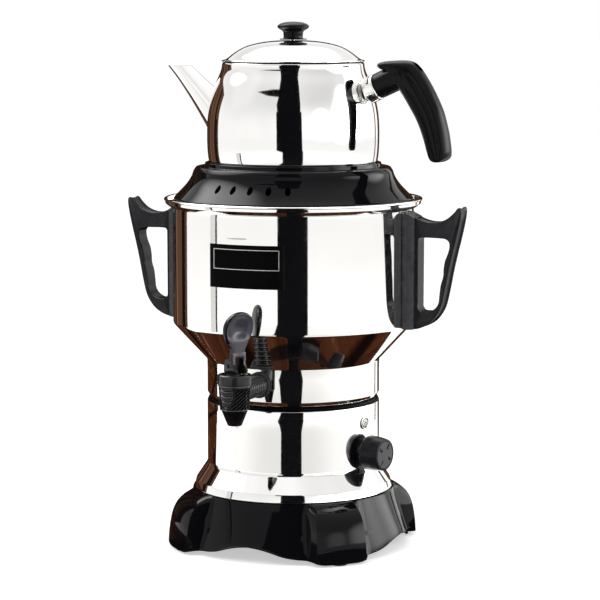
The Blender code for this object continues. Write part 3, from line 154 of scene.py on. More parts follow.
def skinned(name, rings, loop=False, sharp=38):      # rings of points, capped or closed to a loop
    bm = bmesh.new()
    made = [[bm.verts.new(point) for point in ring] for ring in rings]
    pairs = list(zip(made, made[1:])) + ([(made[-1], made[0])] if loop else [])
    for ring, after in pairs:
        for i in range(len(ring)):
            j = (i + 1) % len(ring)
            bm.faces.new((ring[i], ring[j], after[j], after[i]))
    if not loop:
        bm.faces.new(made[0])
        bm.faces.new(made[-1])
    return newPiece(name, bm, sharp)


def turned(name, outline, steps=160, skin=None, sharp=38):
    rings = []
    for k in range(steps):
        turn = math.tau * k / steps
        ring = []
        for point in outline:
            across = point[0] + (skin(math.degrees(turn), point[0], point[1]) if skin else 0)
            ring.append((across * math.sin(turn) * mm, -across * math.cos(turn) * mm, point[1] * mm))
        rings.append(ring)
    return skinned(name, rings, True, sharp)


def swept(name, points, radii, sides=16):            # a round bar along a line, in metres
    path = [Vector(point) for point in points]
    rings = []
    side = None
    for i, point in enumerate(path):
        run = (path[min(i + 1, len(path) - 1)] - path[max(i - 1, 0)]).normalized()
        side = run.orthogonal() if side is None else side
        side = (side - run * side.dot(run)).normalized()
        other = run.cross(side)
        rings.append([point + (side * math.cos(math.tau * k / sides)
                               + other * math.sin(math.tau * k / sides)) * radii[i]
                      for k in range(sides)])
    return skinned(name, rings)


def stood(obj, place, direction=(0, 0, 1)):          # the piece's own upright axis turned this way
    obj.rotation_mode = "QUATERNION"
    obj.rotation_quaternion = Vector(direction).to_track_quat("Z", "Y")
    obj.location = place
    return obj


def onAxis(obj):
    obj.location = (0, axisY, 0)
    return obj


def rounded(obj, width, segments=3):
    step = obj.modifiers.new("rounding", "BEVEL")
    step.width = width * mm
    step.segments = segments
    step.limit_method = "ANGLE"
    step.angle_limit = math.radians(35)
    step.harden_normals = True
    return settled(obj)


def settled(obj):                    # its modifiers worked into its mesh
    bpy.context.view_layer.update()
    made = bpy.data.meshes.new_from_object(obj.evaluated_get(bpy.context.evaluated_depsgraph_get()))
    obj.modifiers.clear()
    obj.data = made
    return obj


def carved(obj, other, operation="DIFFERENCE", sharp=38):
    step = obj.modifiers.new("carve", "BOOLEAN")
    step.operation = operation
    step.solver = "EXACT"
    step.object = other
    settled(obj)
    bpy.data.objects.remove(other)
    obj.data.shade_smooth()
    obj.data.set_sharp_from_angle(angle=math.radians(sharp))
    return obj


def joined(obj, other):
    return carved(obj, other, "UNION")


def block(name, size, place=(0, 0, 0)):              # size and place in metres
    bm = bmesh.new()
    bmesh.ops.create_cube(bm, size=1)
    bmesh.ops.scale(bm, vec=size, verts=bm.verts)
    bmesh.ops.translate(bm, vec=place, verts=bm.verts)
    return newPiece(name, bm)


def dressed(obj, body, slotName, look, *stands):     # seats a piece on its body, for these nodes
    obj.data.materials.clear()
    obj.data.materials.append(look)
    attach(obj, body)
    if stands:
        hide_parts(*stands)
    return obj


# Shared effects, as shader node groups

def newGroup(name, inputs, outputs):
    group = bpy.data.node_groups.new(name, "ShaderNodeTree")
    for label, value in inputs.items():
        group.interface.new_socket(name=label, in_out="INPUT", socket_type="NodeSocketFloat").default_value = value
    for label in outputs:
        group.interface.new_socket(name=label, in_out="OUTPUT", socket_type="NodeSocketFloat")
    return group, group.nodes.new("NodeGroupInput"), group.nodes.new("NodeGroupOutput")


def node(tree, kind, settings=None, **sockets):
    made = tree.nodes.new("ShaderNode" + kind)
    for key, value in (settings or {}).items():
        setattr(made, key, value)
    for key, value in sockets.items():
        socket = made.inputs[int(key[2:])] if key.startswith("in") and key[2:].isdigit() else made.inputs[key.replace("_", " ")]
        if isinstance(value, bpy.types.NodeSocket):
            tree.links.new(value, socket)
        else:
            socket.default_value = value
    return made


def turnedLinesGroup():              # fine polishing lines that run round a turned piece
    group, given, out = newGroup("turnedLines", {"Lines": 900.0, "Waves": 14.0, "Wave Share": 0.5}, ["Height"])
    place = node(group, "TexCoord").outputs["Object"]
    parts = node(group, "SeparateXYZ", in0=place)
    flat = node(group, "CombineXYZ", in0=parts.outputs[0], in1=parts.outputs[1])
    out1 = node(group, "VectorMath", {"operation": "LENGTH"}, in0=flat.outputs[0])
    along = node(group, "Math", {"operation": "ADD"}, in0=parts.outputs[2], in1=out1.outputs["Value"])
    scaled = node(group, "Math", {"operation": "MULTIPLY"}, in0=along.outputs[0], in1=given.outputs["Lines"])
    lines = node(group, "TexNoise", {"noise_dimensions": "1D"}, W=scaled.outputs[0], Scale=1.0, Detail=3.0)
    waves = node(group, "TexNoise", Vector=place, Scale=given.outputs["Waves"], Detail=1.0)
    mixed = node(group, "Mix", Factor=given.outputs["Wave Share"], in2=lines.outputs[0], in3=waves.outputs[0])
    group.links.new(mixed.outputs[0], out.inputs["Height"])
    return group


def smudgesGroup():                  # where hands and steam have dulled a gloss
    group, given, out = newGroup("smudges", {"Scale": 9.0, "Clean": 0.05, "Dull": 0.12}, ["Roughness"])
    place = node(group, "TexCoord").outputs["Object"]
    broad = node(group, "TexNoise", Vector=place, Scale=given.outputs["Scale"], Detail=4.0, Roughness=0.6)
    fine = node(group, "TexNoise", Vector=place, Scale=420.0, Detail=2.0)
    both = node(group, "Math", {"operation": "MULTIPLY"}, in0=broad.outputs[0], in1=fine.outputs[0])
    spread = node(group, "MapRange", Value=both.outputs[0], in1=0.15, in2=0.42, in3=given.outputs["Clean"], in4=given.outputs["Dull"])
    group.links.new(spread.outputs[0], out.inputs["Roughness"])
    return group


def edgeWearAndHighlightGroup():                  # corners that handling has rubbed brighter, and a painted highlight along edges and ridges
    group, given, out = newGroup("edgeWearAndHighlight", {"Start": 0.53, "End": 0.60}, ["Mask"])
    edge = node(group, "NewGeometry").outputs["Pointiness"]
    spread = node(group, "MapRange", Value=edge, in1=given.outputs["Start"], in2=given.outputs["End"])
    patch = node(group, "TexNoise", Vector=node(group, "TexCoord").outputs["Object"], Scale=160.0, Detail=3.0)
    broken = node(group, "Math", {"operation": "MULTIPLY", "use_clamp": True}, in0=spread.outputs[0], in1=patch.outputs[0])
    group.links.new(broken.outputs[0], out.inputs["Mask"])
    return group


def mouldGrainGroup():               # the fine skin of moulded plastic
    group, given, out = newGroup("mouldGrain", {"Scale": 1400.0, "Swirl": 60.0}, ["Height"])
    place = node(group, "TexCoord").outputs["Object"]
    grain = node(group, "TexVoronoi", Vector=place, Scale=given.outputs["Scale"])
    swirl = node(group, "TexNoise", Vector=place, Scale=given.outputs["Swirl"], Detail=2.0)
    mixed = node(group, "Mix", Factor=0.35, in2=grain.outputs[0], in3=swirl.outputs[0])
    group.links.new(mixed.outputs[0], out.inputs["Height"])
    return group


groups = {
    "turnedLines": turnedLinesGroup(), "smudges": smudgesGroup(), "edgeWearAndHighlight": edgeWearAndHighlightGroup(),
    "mouldGrain": mouldGrainGroup(),
}
print("effects made")


# Materials

def placed(tree, groupName, **values):               # one of the shared effects, with its own values
    made = tree.nodes.new("ShaderNodeGroup")
    made.node_tree = groups[groupName]
    for key, value in values.items():
        made.inputs[key.replace("_", " ")].default_value = value
    return made


def newLook(name, colour, metallic=0.0, roughness=0.4):
    look = bpy.data.materials.new(name)
    look.use_nodes = True
    shader = look.node_tree.nodes["Principled BSDF"]
    shader.inputs["Base Color"].default_value = (*colour, 1)
    shader.inputs["Metallic"].default_value = metallic
    shader.inputs["Roughness"].default_value = roughness
    return look, look.node_tree, shader


def bumped(tree, shader, height, strength, depth):
    bump = node(tree, "Bump", Strength=strength, Distance=depth * mm, Height=height)
    tree.links.new(bump.outputs[0], shader.inputs["Normal"])


def tinted(tree, shader, mask, low, high):           # the base colour runs from low to high over a mask
    mix = node(tree, "Mix", {"data_type": "RGBA"}, in0=mask, in6=(*low, 1), in7=(*high, 1))
    tree.links.new(mix.outputs[2], shader.inputs["Base Color"])


steelLook = {
    "bright": (0.90, 0.895, 0.88), "shade": (0.85, 0.84, 0.82), "clean": 0.035, "dull": 0.075,
    "lines": 900.0, "waves": 16.0, "depth": 0.012,
}


def steelOf(name, lines=None, clean=None, dull=None):
    s = steelLook
    look, tree, shader = newLook(name, s["bright"], 1.0)
    grain = placed(tree, "turnedLines", Lines=lines or s["lines"], Waves=s["waves"], Wave_Share=0.6)
    bumped(tree, shader, grain.outputs[0], 0.25, s["depth"])
    dulled = placed(tree, "smudges", Clean=clean or s["clean"], Dull=dull or s["dull"])
    tree.links.new(dulled.outputs[0], shader.inputs["Roughness"])
    cloud = node(tree, "TexNoise", Vector=node(tree, "TexCoord").outputs["Object"], Scale=22.0, Detail=3.0)
    tinted(tree, shader, cloud.outputs[0], s["shade"], s["bright"])
    return look


plasticLook = {"rubAndHighlight": (0.10, 0.10, 0.105), "grainDepth": 0.02}


def plasticOf(name, colour, clean, dull, grain=1400.0, strength=0.2, rubAndHighlight=None, sheen=0.5, edge=(0.53, 0.60)):
    look, tree, shader = newLook(name, colour)
    shader.inputs["Specular IOR Level"].default_value = sheen
    skin = placed(tree, "mouldGrain", Scale=grain)
    bumped(tree, shader, skin.outputs[0], strength, plasticLook["grainDepth"])
    dulled = placed(tree, "smudges", Clean=clean, Dull=dull)
    tree.links.new(dulled.outputs[0], shader.inputs["Roughness"])
    # Edges and ridges take the paler colour: partly rubbed wear, partly a painted highlight.
    paleMask = placed(tree, "edgeWearAndHighlight", Start=edge[0], End=edge[1])
    tinted(tree, shader, paleMask.outputs[0], colour, rubAndHighlight or plasticLook["rubAndHighlight"])
    return look


def plainOf(name, colour, metallic, clean, dull, patchScale=60.0, shade=0.8):
    look, tree, shader = newLook(name, colour, metallic)
    dulled = placed(tree, "smudges", Scale=patchScale, Clean=clean, Dull=dull)
    tree.links.new(dulled.outputs[0], shader.inputs["Roughness"])
    patch = node(tree, "TexNoise", Vector=node(tree, "TexCoord").outputs["Object"], Scale=patchScale * 4, Detail=3.0)
    tinted(tree, shader, patch.outputs[0], [c * shade for c in colour], colour)
    skin = placed(tree, "mouldGrain", Scale=900.0)
    bumped(tree, shader, skin.outputs[0], 0.15, 0.02)
    return look


def lensOf(name):
    look, tree, shader = newLook(name, (0.95, 0.96, 0.95))
    shader.inputs["Transmission Weight"].default_value = 0.9
    shader.inputs["IOR"].default_value = 1.49
    dulled = placed(tree, "smudges", Clean=0.04, Dull=0.12)
    tree.links.new(dulled.outputs[0], shader.inputs["Roughness"])
    return look


looks = {
    "steel": steelOf("polishedSteel"),
    "steelFine": steelOf("polishedSteelSmall", 2600.0, 0.06, 0.12),
    "dullSteel": plainOf("plainSteel", (0.52, 0.52, 0.50), 1.0, 0.25, 0.42),
    # Also the painted shade under the lid's rim.
    "darkSteel": plainOf("blackenedSteel", (0.012, 0.012, 0.013), 1.0, 0.35, 0.5),
    "gloss": plasticOf("glossBlackPlastic", (0.003, 0.003, 0.004), 0.04, 0.09, 260.0, 0.06, (0.012, 0.012, 0.014), 0.13),
    "satin": plasticOf("satinBlackPlastic", (0.004, 0.004, 0.0045), 0.20, 0.30, 2600.0, 0.10, (0.03, 0.03, 0.033), 0.10),
    "label": plasticOf("labelBlack", (0.0012, 0.0012, 0.0012), 0.35, 0.45, 1500.0, 0.10, (0.01, 0.01, 0.01), 0.02),
    # The side handles' pale rubbed colour is partly a painted highlight along their edges; the strip's paler grey is a
    # painted highlight on its flat face.
    "handle": plasticOf("handleBlackPlastic", (0.005, 0.005, 0.006), 0.20, 0.30, 2600.0, 0.08, (0.05, 0.05, 0.055), 0.11, (0.51, 0.57)),
    "handleStrip": plasticOf("handleStripPlastic", (0.012, 0.012, 0.013), 0.20, 0.30, 2600.0, 0.08, (0.06, 0.06, 0.066), 0.22, (0.51, 0.57)),
    # The tap's pale rubbed colour is mostly a painted highlight on its chevron ridges and thread crests.
    "tapBlack": plasticOf("tapBlackPlastic", (0.003, 0.003, 0.004), 0.07, 0.14, 2400.0, 0.06, (0.16, 0.16, 0.165), 0.26, (0.505, 0.56)),
    "lever": plasticOf("leverBlackPlastic", (0.003, 0.003, 0.004), 0.08, 0.15, 2400.0, 0.06, (0.05, 0.05, 0.055), 0.22),
    # The paddle's paler grey is a painted highlight on the lever's own black plastic, on its front faces.
    "paddle": plasticOf("paddlePlastic", (0.036, 0.036, 0.047), 0.26, 0.36, 2400.0, 0.06, (0.12, 0.12, 0.14), 0.30),
    "knobSide": plasticOf("knobPlastic", (0.008, 0.008, 0.010), 0.28, 0.40, 2600.0, 0.10, (0.04, 0.04, 0.045), 0.14),
    "knobFace": plasticOf("knobFacePlastic", (0.050, 0.050, 0.057), 0.28, 0.40, 2600.0, 0.10, (0.09, 0.09, 0.095), 0.20),
    "rubber": plainOf("blackRubber", (0.018, 0.018, 0.018), 0.0, 0.65, 0.85),
    "silicone": plainOf("paleSilicone", (0.72, 0.71, 0.67), 0.0, 0.45, 0.6),
    "brass": plainOf("plainBrass", (0.72, 0.52, 0.22), 1.0, 0.22, 0.36),
    "brownWire": plainOf("brownSleeve", (0.16, 0.06, 0.03), 0.0, 0.35, 0.5),
    "blueWire": plainOf("blueSleeve", (0.03, 0.07, 0.28), 0.0, 0.35, 0.5),
    "cream": plainOf("creamInsulator", (0.78, 0.73, 0.62), 0.0, 0.4, 0.6),
    "lens": lensOf("clearLens"),
    "silver": plainOf("silverPrint", (0.62, 0.62, 0.61), 0.6, 0.25, 0.4),
    "numbers": plasticOf("numberInk", (0.001, 0.001, 0.001), 0.5, 0.65, 1500.0, 0.05, (0.002, 0.002, 0.002), 0.02),
}
print("materials made,", len(looks))


# Boiler tank

boiler = {
    "sheet": 1.0, "rimRadius": 102.8, "rimTop": 278.2, "wall": 95.9, "wallTop": 269.4, "wallFoot": 178.6,
    "neck": 68.8, "neckTop": 149.4, "neckFoot": 123.2, "floor": 116.6, "beadRadius": 1.0,
}


def tankLine():
    b = boiler
    flare = cornered([(b["rimRadius"] - 0.9, b["rimTop"] - 0.6), (b["rimRadius"] - 1.1, b["rimTop"] - 4.2, 0.8),
                      (b["rimRadius"] - 4.8, b["wallTop"] + 1.8, 0.5), (b["wall"], b["wallTop"] + 1.1, 0.3),
                      (b["wall"], b["wallTop"] - 2.0)], 6)
    lower = cornered([
        (b["wall"], b["wallTop"] - 2.0), (b["wall"], b["wallTop"] - 16), (b["wall"], b["wallFoot"] + 12),
        (b["wall"], b["wallFoot"], 4.0), (b["neck"] + 0.2, b["neckTop"], 2.4), (b["neck"], b["neckTop"] - 8),
        (b["neck"], b["neckFoot"], 1.5), (b["neck"] - 2.9, b["floor"] + 1.6, 1.0),
        (b["neck"] - 6.0, b["floor"]), (0, b["floor"])])
    return flare + lower[1:]


def makeTank():
    b = boiler
    tank = onAxis(turned("tankShell", sheetOf(tankLine(), b["sheet"]), 224))
    bead = turned("rimBead", [(b["rimRadius"] - b["beadRadius"] + math.cos(t) * b["beadRadius"],
                               b["rimTop"] - b["beadRadius"] + math.sin(t) * b["beadRadius"])
                              for t in (math.tau * k / 14 for k in range(14))], 224)
    joined(tank, onAxis(bead))
    stub = turned("tapHole", cornered([(0, -30), (8.5, -30), (8.5, 30), (0, 30)]), 48)
    carved(tank, stood(stub, spot(b["neck"], 0, 136.8), heading(0)))
    return dressed(tank, "root", "polished_steel", looks["steel"], "boiler_tank")


levelMark = {"angle": -4.2, "height": 253.0, "length": 18.4, "width": 0.55, "proud": 0.18}


def makeLevelMark():                 # the engraved line at the highest water level
    m = levelMark
    reach = boiler["wall"]
    rings = []
    for k in range(13):
        share = k / 6 - 1
        angle = m["angle"] + math.degrees(share * m["length"] / 2 / reach)
        rings.append([spot(reach + lift, angle, m["height"] + up * m["width"] * (1 - abs(share) ** 8))
                      for up, lift in ((-1, 0.02), (-0.6, m["proud"]), (0.6, m["proud"]), (1, 0.02), (0, -0.1))])
    return dressed(skinned("levelMark", rings), "root", "polished_steel", looks["dullSteel"])


# Lower casing with its flared skirt

casing = {"sheet": 0.8, "wall": 68.9, "top": 116.2, "skirtTop": 66.0, "skirtRadius": 79.6, "skirtFoot": 46.0}


def makeCasing():
    c = casing
    line = cornered([
        (52.0, c["top"]), (c["wall"], c["top"], 0.5), (c["wall"], c["top"] - 16),
        (c["wall"], c["skirtTop"] + 8), (c["wall"], c["skirtTop"], 6.0), (c["skirtRadius"] - 1.6, c["skirtFoot"] + 6.4, 3.0),
        (c["skirtRadius"], c["skirtFoot"], 0.6), (c["skirtRadius"] - 9, c["skirtFoot"])])
    shell = onAxis(turned("casingShell", sheetOf(line, c["sheet"]), 224))
    for height, radius in ((knob["height"], 5.4), (lens["height"], 4.1)):
        hole = turned("casingHole", cornered([(0, -6), (radius, -6), (radius, 6), (0, 6)]), 40)
        carved(shell, stood(hole, spot(c["wall"], knob["angle"], height), heading(knob["angle"])))
    dressed(shell, "root", "polished_steel", looks["steel"], "lower_casing")
    seam = turned("seamRing", cornered([(c["wall"] - 4.9, c["top"] + 0.1), (c["wall"] - 0.6, c["top"] + 0.1, 0.5), (c["wall"] - 0.8, c["top"] + 1.9, 0.7),
                                        (c["wall"] - 4.9, c["top"] + 1.9)], 3), 160)
    dressed(onAxis(seam), "root", "rubber", looks["label"])


# Base with four feet

base = {
    "top": 45.7, "topRadius": 80.6, "wall": 2.5, "deckHole": 30.0, "archRadius": 93.0, "archHeight": 13.0,
    "footRadius": 102.2, "footInner": 83.5, "footHeight": 1.5, "ledge": 20.0, "panelHalf": 11.4, "sideHalf": 16.8, "soleRound": 2.4,
}


def smoothStep(low, high, value):
    share = min(max((value - low) / (high - low), 0), 1)
    return share * share * (3 - 2 * share)


def baseSection(angle):
    b = base
    away = abs((angle % 90) - 45)
    foot = 1 - smoothStep(b["panelHalf"], b["sideHalf"], away)
    arch = 1 - (1 - smoothStep(b["sideHalf"] - 2, 52, away)) ** 1.7
    bottom = b["footHeight"] + (b["archHeight"] - b["footHeight"]) * arch
    bottom += b["soleRound"] * smoothStep(6, 15, away) ** 2 * (1 - smoothStep(16, 30, away))
    knee = drawn([(0.0, 0.0), (0.03, 0.16), (0.10, 0.40), (0.22, 0.645), (0.39, 0.815), (0.58, 0.905), (0.8, 0.965), (1.0, 0.985)], 3)
    line = []
    for down, out in knee:
        share = max(down, 0)
        cone = b["topRadius"] + (b["archRadius"] - b["topRadius"]) * share ** 1.15
        footOut = b["topRadius"] + (b["footRadius"] - b["topRadius"]) * out
        bulge = 0.8 * math.cos(math.radians(min(away / b["panelHalf"], 1) * 90)) * math.sin(math.pi * share) * foot
        line.append((cone + (footOut - cone) * foot + bulge, b["top"] - (b["top"] - bottom) * share))
    lip = Vector(line[-1])
    line[-1] = (lip.x, lip.y + 0.9)
    line += [(lip.x - 0.3, lip.y + 0.3), (lip.x - 0.9, lip.y)]
    archInner = b["archRadius"] - b["wall"]
    inner = archInner + (b["footInner"] - archInner) * foot
    ledge = max(b["ledge"], bottom)
    line += [(inner + 0.5, bottom), (inner, bottom + 0.5), (inner - b["wall"] * (1 - foot), ledge),
             (b["topRadius"] - b["wall"], b["top"] - b["wall"]), (b["deckHole"], b["top"] - b["wall"]),
             (b["deckHole"], b["top"]), (b["topRadius"] - 1.0, b["top"])]
    return [heading(angle) * across * mm + Vector((0, 0, up * mm)) for across, up in line]


def makeBase():
    angles = []
    for k in range(4):
        for i in range(46):
            angles.append(k * 90 + i * 90 / 46)
    shell = onAxis(skinned("baseShell", [baseSection(angle) for angle in angles], True, 32))
    return dressed(shell, "root", "black_gloss", looks["gloss"], "base_shell")


def makeCover():                     # the bottom cover, with a pressed ring and vent slots
    line = cornered([(0, 16.4), (82.3, 16.4, 0.5), (82.3, 15.0, 0.5), (70, 15.0), (68.5, 15.7, 0.5), (44, 15.7, 0.5),
                     (42.5, 15.0), (0, 15.0)], 3)
    cover = onAxis(turned("coverPlate", line, 120))
    for k in range(6):
        slot = block("coverSlot", (30 * mm, 2.4 * mm, 8 * mm), (0, (k - 2.5) * 8 * mm, 15.5 * mm))
        carved(cover, onAxis(slot))
    return dressed(cover, "root", "black_satin", looks["satin"], "bottom_cover")


def makePads():
    for k in range(4):
        pad = turned(f"footPad{k + 1}", cornered([(0, 2.3), (6.7, 2.3, 0.3), (6.7, 0, 0.6), (4.6, 0, 0.3), (4.2, 0.5, 0.3), (0, 0.5)], 3), 48)
        dressed(stood(pad, spot(93.0, 45 + 90 * k, 0)), "root", "rubber", looks["rubber"], f"foot_pad_{k + 1}")


def screwPiece(name, head, headHeight, radius, length, place, direction):
    line = [(0, headHeight)] + cornered([(0, headHeight), (head * 0.62, headHeight * 0.96), (head, headHeight * 0.35, 0.8), (head, 0, 0.2), (radius, 0)], 4)[1:]
    pitch = 0.9
    turns = int(length / pitch) - 1
    for k in range(turns):
        line += [(radius, -pitch * (k + 0.2)), (radius * 0.8, -pitch * (k + 0.6))]
    line += [(radius * 0.6, -length), (0, -length)]
    made = turned(name, line, 28)
    for turn in (0, 90):
        slit = block("screwSlit", (head * 1.25 * mm, head * 0.26 * mm, headHeight * 1.1 * mm), (0, 0, headHeight * mm))
        slit.rotation_euler = (0, 0, math.radians(turn))
        carved(made, slit)
    return stood(made, place, direction)


def makeScrews():
    for k in range(4):
        made = screwPiece(f"coverScrew{k + 1}", 3.0, 1.8, 1.45, 9.4, spot(72.0, 45 + 90 * k, 14.7), (0, 0, -1))
        dressed(made, "root", "plain_steel", looks["dullSteel"], f"cover_screw_{k + 1}")
    for k, (angle, height) in enumerate(((-90, 202.8), (-90, 237.7), (90, 202.8), (90, 237.7))):
        made = screwPiece(f"handleScrew{k + 1}", 4.2, 1.8, 1.9, 7.2, spot(94.3, angle, height), -heading(angle))
        dressed(made, "root", "plain_steel", looks["dullSteel"], f"handle_screw_{k + 1}")


def makeGland():                     # a ribbed gland, tilted with the slope of the base
    line = cornered([(3.5, 2.8), (7.2, 2.8, 0.6), (8.5, 1.6, 0.6), (8.5, 0.3, 0.2), (6.0, 0.3), (6.0, -4)], 4)
    for k in range(4):
        line += [Vector(p) for p in ((6.0, -4.6 - k * 1.6), (5.4, -4.9 - k * 1.6), (5.4, -5.6 - k * 1.6), (6.0, -5.9 - k * 1.6))]
    line += [Vector((5.6, -11)), Vector((3.5, -11))]
    low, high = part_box("cord_gland")
    made = turned("cordGland", line, 64)
    slope = math.degrees(math.atan2(base["archRadius"] - base["topRadius"], base["top"] - base["archHeight"]))
    down = (base["top"] - 29.0) / (base["top"] - base["archHeight"])
    reach = base["topRadius"] + (base["archRadius"] - base["topRadius"]) * down ** 1.15
    place = spot(reach, 180, 29.0) - heading(180, slope) * 0.9 * mm
    return dressed(stood(made, place, heading(180, slope)), "root", "black_satin", looks["satin"], "cord_gland")


# Thermostat knob and indicator

knob = {"angle": 77.0, "height": 79.5, "back": 73.0, "radius": 13.9, "front": 12.4, "depth": 15.8, "face": 11.6, "numberRing": 6.9}
lens = {"height": 102.8, "radius": 5.0, "dome": 1.7, "bezel": 0.9}


def makeKnob():
    k = knob
    line = [(0, k["depth"] - 0.35)] + cornered([
        (0, k["depth"] - 0.35), (k["face"] - 1.3, k["depth"] - 0.35, 0.3), (k["face"] - 0.9, k["depth"], 0.4),
        (k["front"], k["depth"], 0.9), (k["radius"] - 0.3, k["depth"] * 0.55, 6.0), (k["radius"], 0.9, 0.6),
        (k["radius"] - 0.6, 0, 0.3), (3.3, 0)], 4)[1:] + [(3.3, 9.9), (0, 9.9)]
    made = turned("knobBody", line, 120)
    stood(made, spot(k["back"], k["angle"], k["height"]), heading(k["angle"]))
    dressed(made, "knob", "grey_black", looks["knobSide"], "thermostat_knob")
    disc = turned("knobFace", [(0, k["depth"] + 0.02), (k["face"] - 1.4, k["depth"] + 0.02), (k["face"] - 1.2, k["depth"] - 0.2), (0, k["depth"] - 0.3)], 96)
    stood(disc, spot(k["back"], k["angle"], k["height"]), heading(k["angle"]))
    dressed(disc, "knob", "grey_black", looks["knobFace"])
    out = heading(k["angle"])
    side = out.cross(Vector((0, 0, 1))).normalized() * -1
    for number, turn in (("1", 215), ("2", 305), ("3", 35), ("4", 125)):
        text = bpy.data.curves.new(f"knobNumber{number}", "FONT")
        text.body = number
        text.size = 5.2 * mm
        text.offset = 0.25 * mm
        text.extrude = 0.06 * mm
        text.align_x = "CENTER"
        text.align_y = "CENTER"
        letter = bpy.data.objects.new(f"knobNumber{number}", text)
        bpy.context.scene.collection.objects.link(letter)
        at = math.radians(turn)
        arm = side * math.sin(at) + Vector((0, 0, 1)) * math.cos(at)
        place = spot(k["back"], k["angle"], k["height"]) + out * (k["depth"] + 0.05) * mm + arm * k["numberRing"] * mm
        across = arm.cross(out) * -1
        letter.matrix_world = Matrix.Translation(place) @ Matrix((across, arm, out)).transposed().to_4x4()
        bpy.context.view_layer.update()
        mesh = bpy.data.meshes.new_from_object(letter)
        solid = bpy.data.objects.new(f"knobNumber{number}", mesh)
        bpy.context.scene.collection.objects.link(solid)
        solid.matrix_world = letter.matrix_world
        bpy.data.objects.remove(letter)
        dressed(solid, "knob", "grey_black", looks["numbers"])


def makeLens():
    p = lens
    place = spot(casing["wall"] + 0.3, knob["angle"], p["height"])
    dome = [(0, p["dome"])] + [(math.sin(t) * (p["radius"] - p["bezel"]), math.cos(t) * p["dome"] * 0.8 + 0.3)
                              for t in (math.pi / 2 * k / 8 for k in range(1, 9))]
    made = turned("lensDome", dome + [(3.8, 0), (3.8, -5.9), (0, -5.9)], 64)
    dressed(stood(made, place, heading(knob["angle"])), "root", "clear_lens", looks["lens"], "indicator_lens")
    ring = turned("lensBezel", cornered([(p["radius"] - 0.8, 0.02), (p["radius"] - 0.8, 0.9, 0.3), (p["radius"], 0.7, 0.4), (p["radius"], 0.02)], 4), 64)
    dressed(stood(ring, place, heading(knob["angle"])), "root", "clear_lens", looks["steelFine"])


# Side handles

handle = {"width": 15.6, "gutter": 1.7, "wallGap": 0.3, "strip": 105.8, "stripWidth": 19.0}
handleOuter = [
    (98.6, 269.4), (103.5, 267.0), (110.0, 264.0), (117.5, 262.4), (125.0, 262.9), (132.0, 265.8), (137.5, 270.6),
    (140.4, 274.0), (142.6, 274.0), (143.3, 270.6), (142.2, 262.0), (139.2, 248.5), (136.4, 237.4), (133.3, 223.6),
    (130.0, 206.8), (127.0, 195.4), (122.2, 187.4), (117.0, 182.6), (110.0, 179.2), (103.5, 177.9), (98.0, 177.6),
]
handleOpening = [
    (108.2, 248.2), (109.6, 250.0), (113.0, 250.4), (117.5, 250.4), (122.5, 250.3), (127.0, 250.2), (130.8, 249.6),
    (133.4, 247.4), (133.8, 243.6), (132.6, 238.6), (130.3, 232.8), (129.2, 226.6), (128.9, 220.6), (126.9, 213.6),
    (125.9, 206.0), (125.2, 199.8), (122.6, 195.6), (118.4, 192.8), (114.0, 192.2), (110.0, 192.6), (108.1, 195.6),
]


def tankReach(height):               # how far out the boiler's outer side lies
    line = tankLine()
    for above, below in zip(line, line[1:]):
        if below.y <= height <= above.y and above.y - below.y > 1e-6:
            return above.x + (below.x - above.x) * (above.y - height) / (above.y - below.y)
    return boiler["wall"]


def mountingStrip():                 # the wider strip that lies along the boiler
    h = handle
    edges = [p for p in drawn(handleOuter, 4) if p.x < h["strip"] - 0.3]
    above = [p for p in edges if p.y > 224] + [Vector((h["strip"], 266.0))]
    below = [Vector((h["strip"], 178.4))] + [p for p in edges if p.y < 224]
    half = h["stripWidth"] / 2
    rings = []
    for k in range(25):
        across = -half + h["stripWidth"] * k / 24
        end = 0.35 if k in (0, 24) else 0.0
        ring = []
        for p in moved(above + below, -end):
            ring.append((max(p.x, 99.0) * mm, across * mm, p.y * mm))
        for i in range(9):
            up = 178.0 + end + (269.0 - 178.0 - end * 2) * i / 8
            reach = tankReach(min(max(up, 179.5), 269.8)) + h["wallGap"]
            ring.append((math.sqrt(reach ** 2 - across ** 2) * mm, across * mm, up * mm))
        rings.append(ring)
    return skinned("mountingStrip", rings)


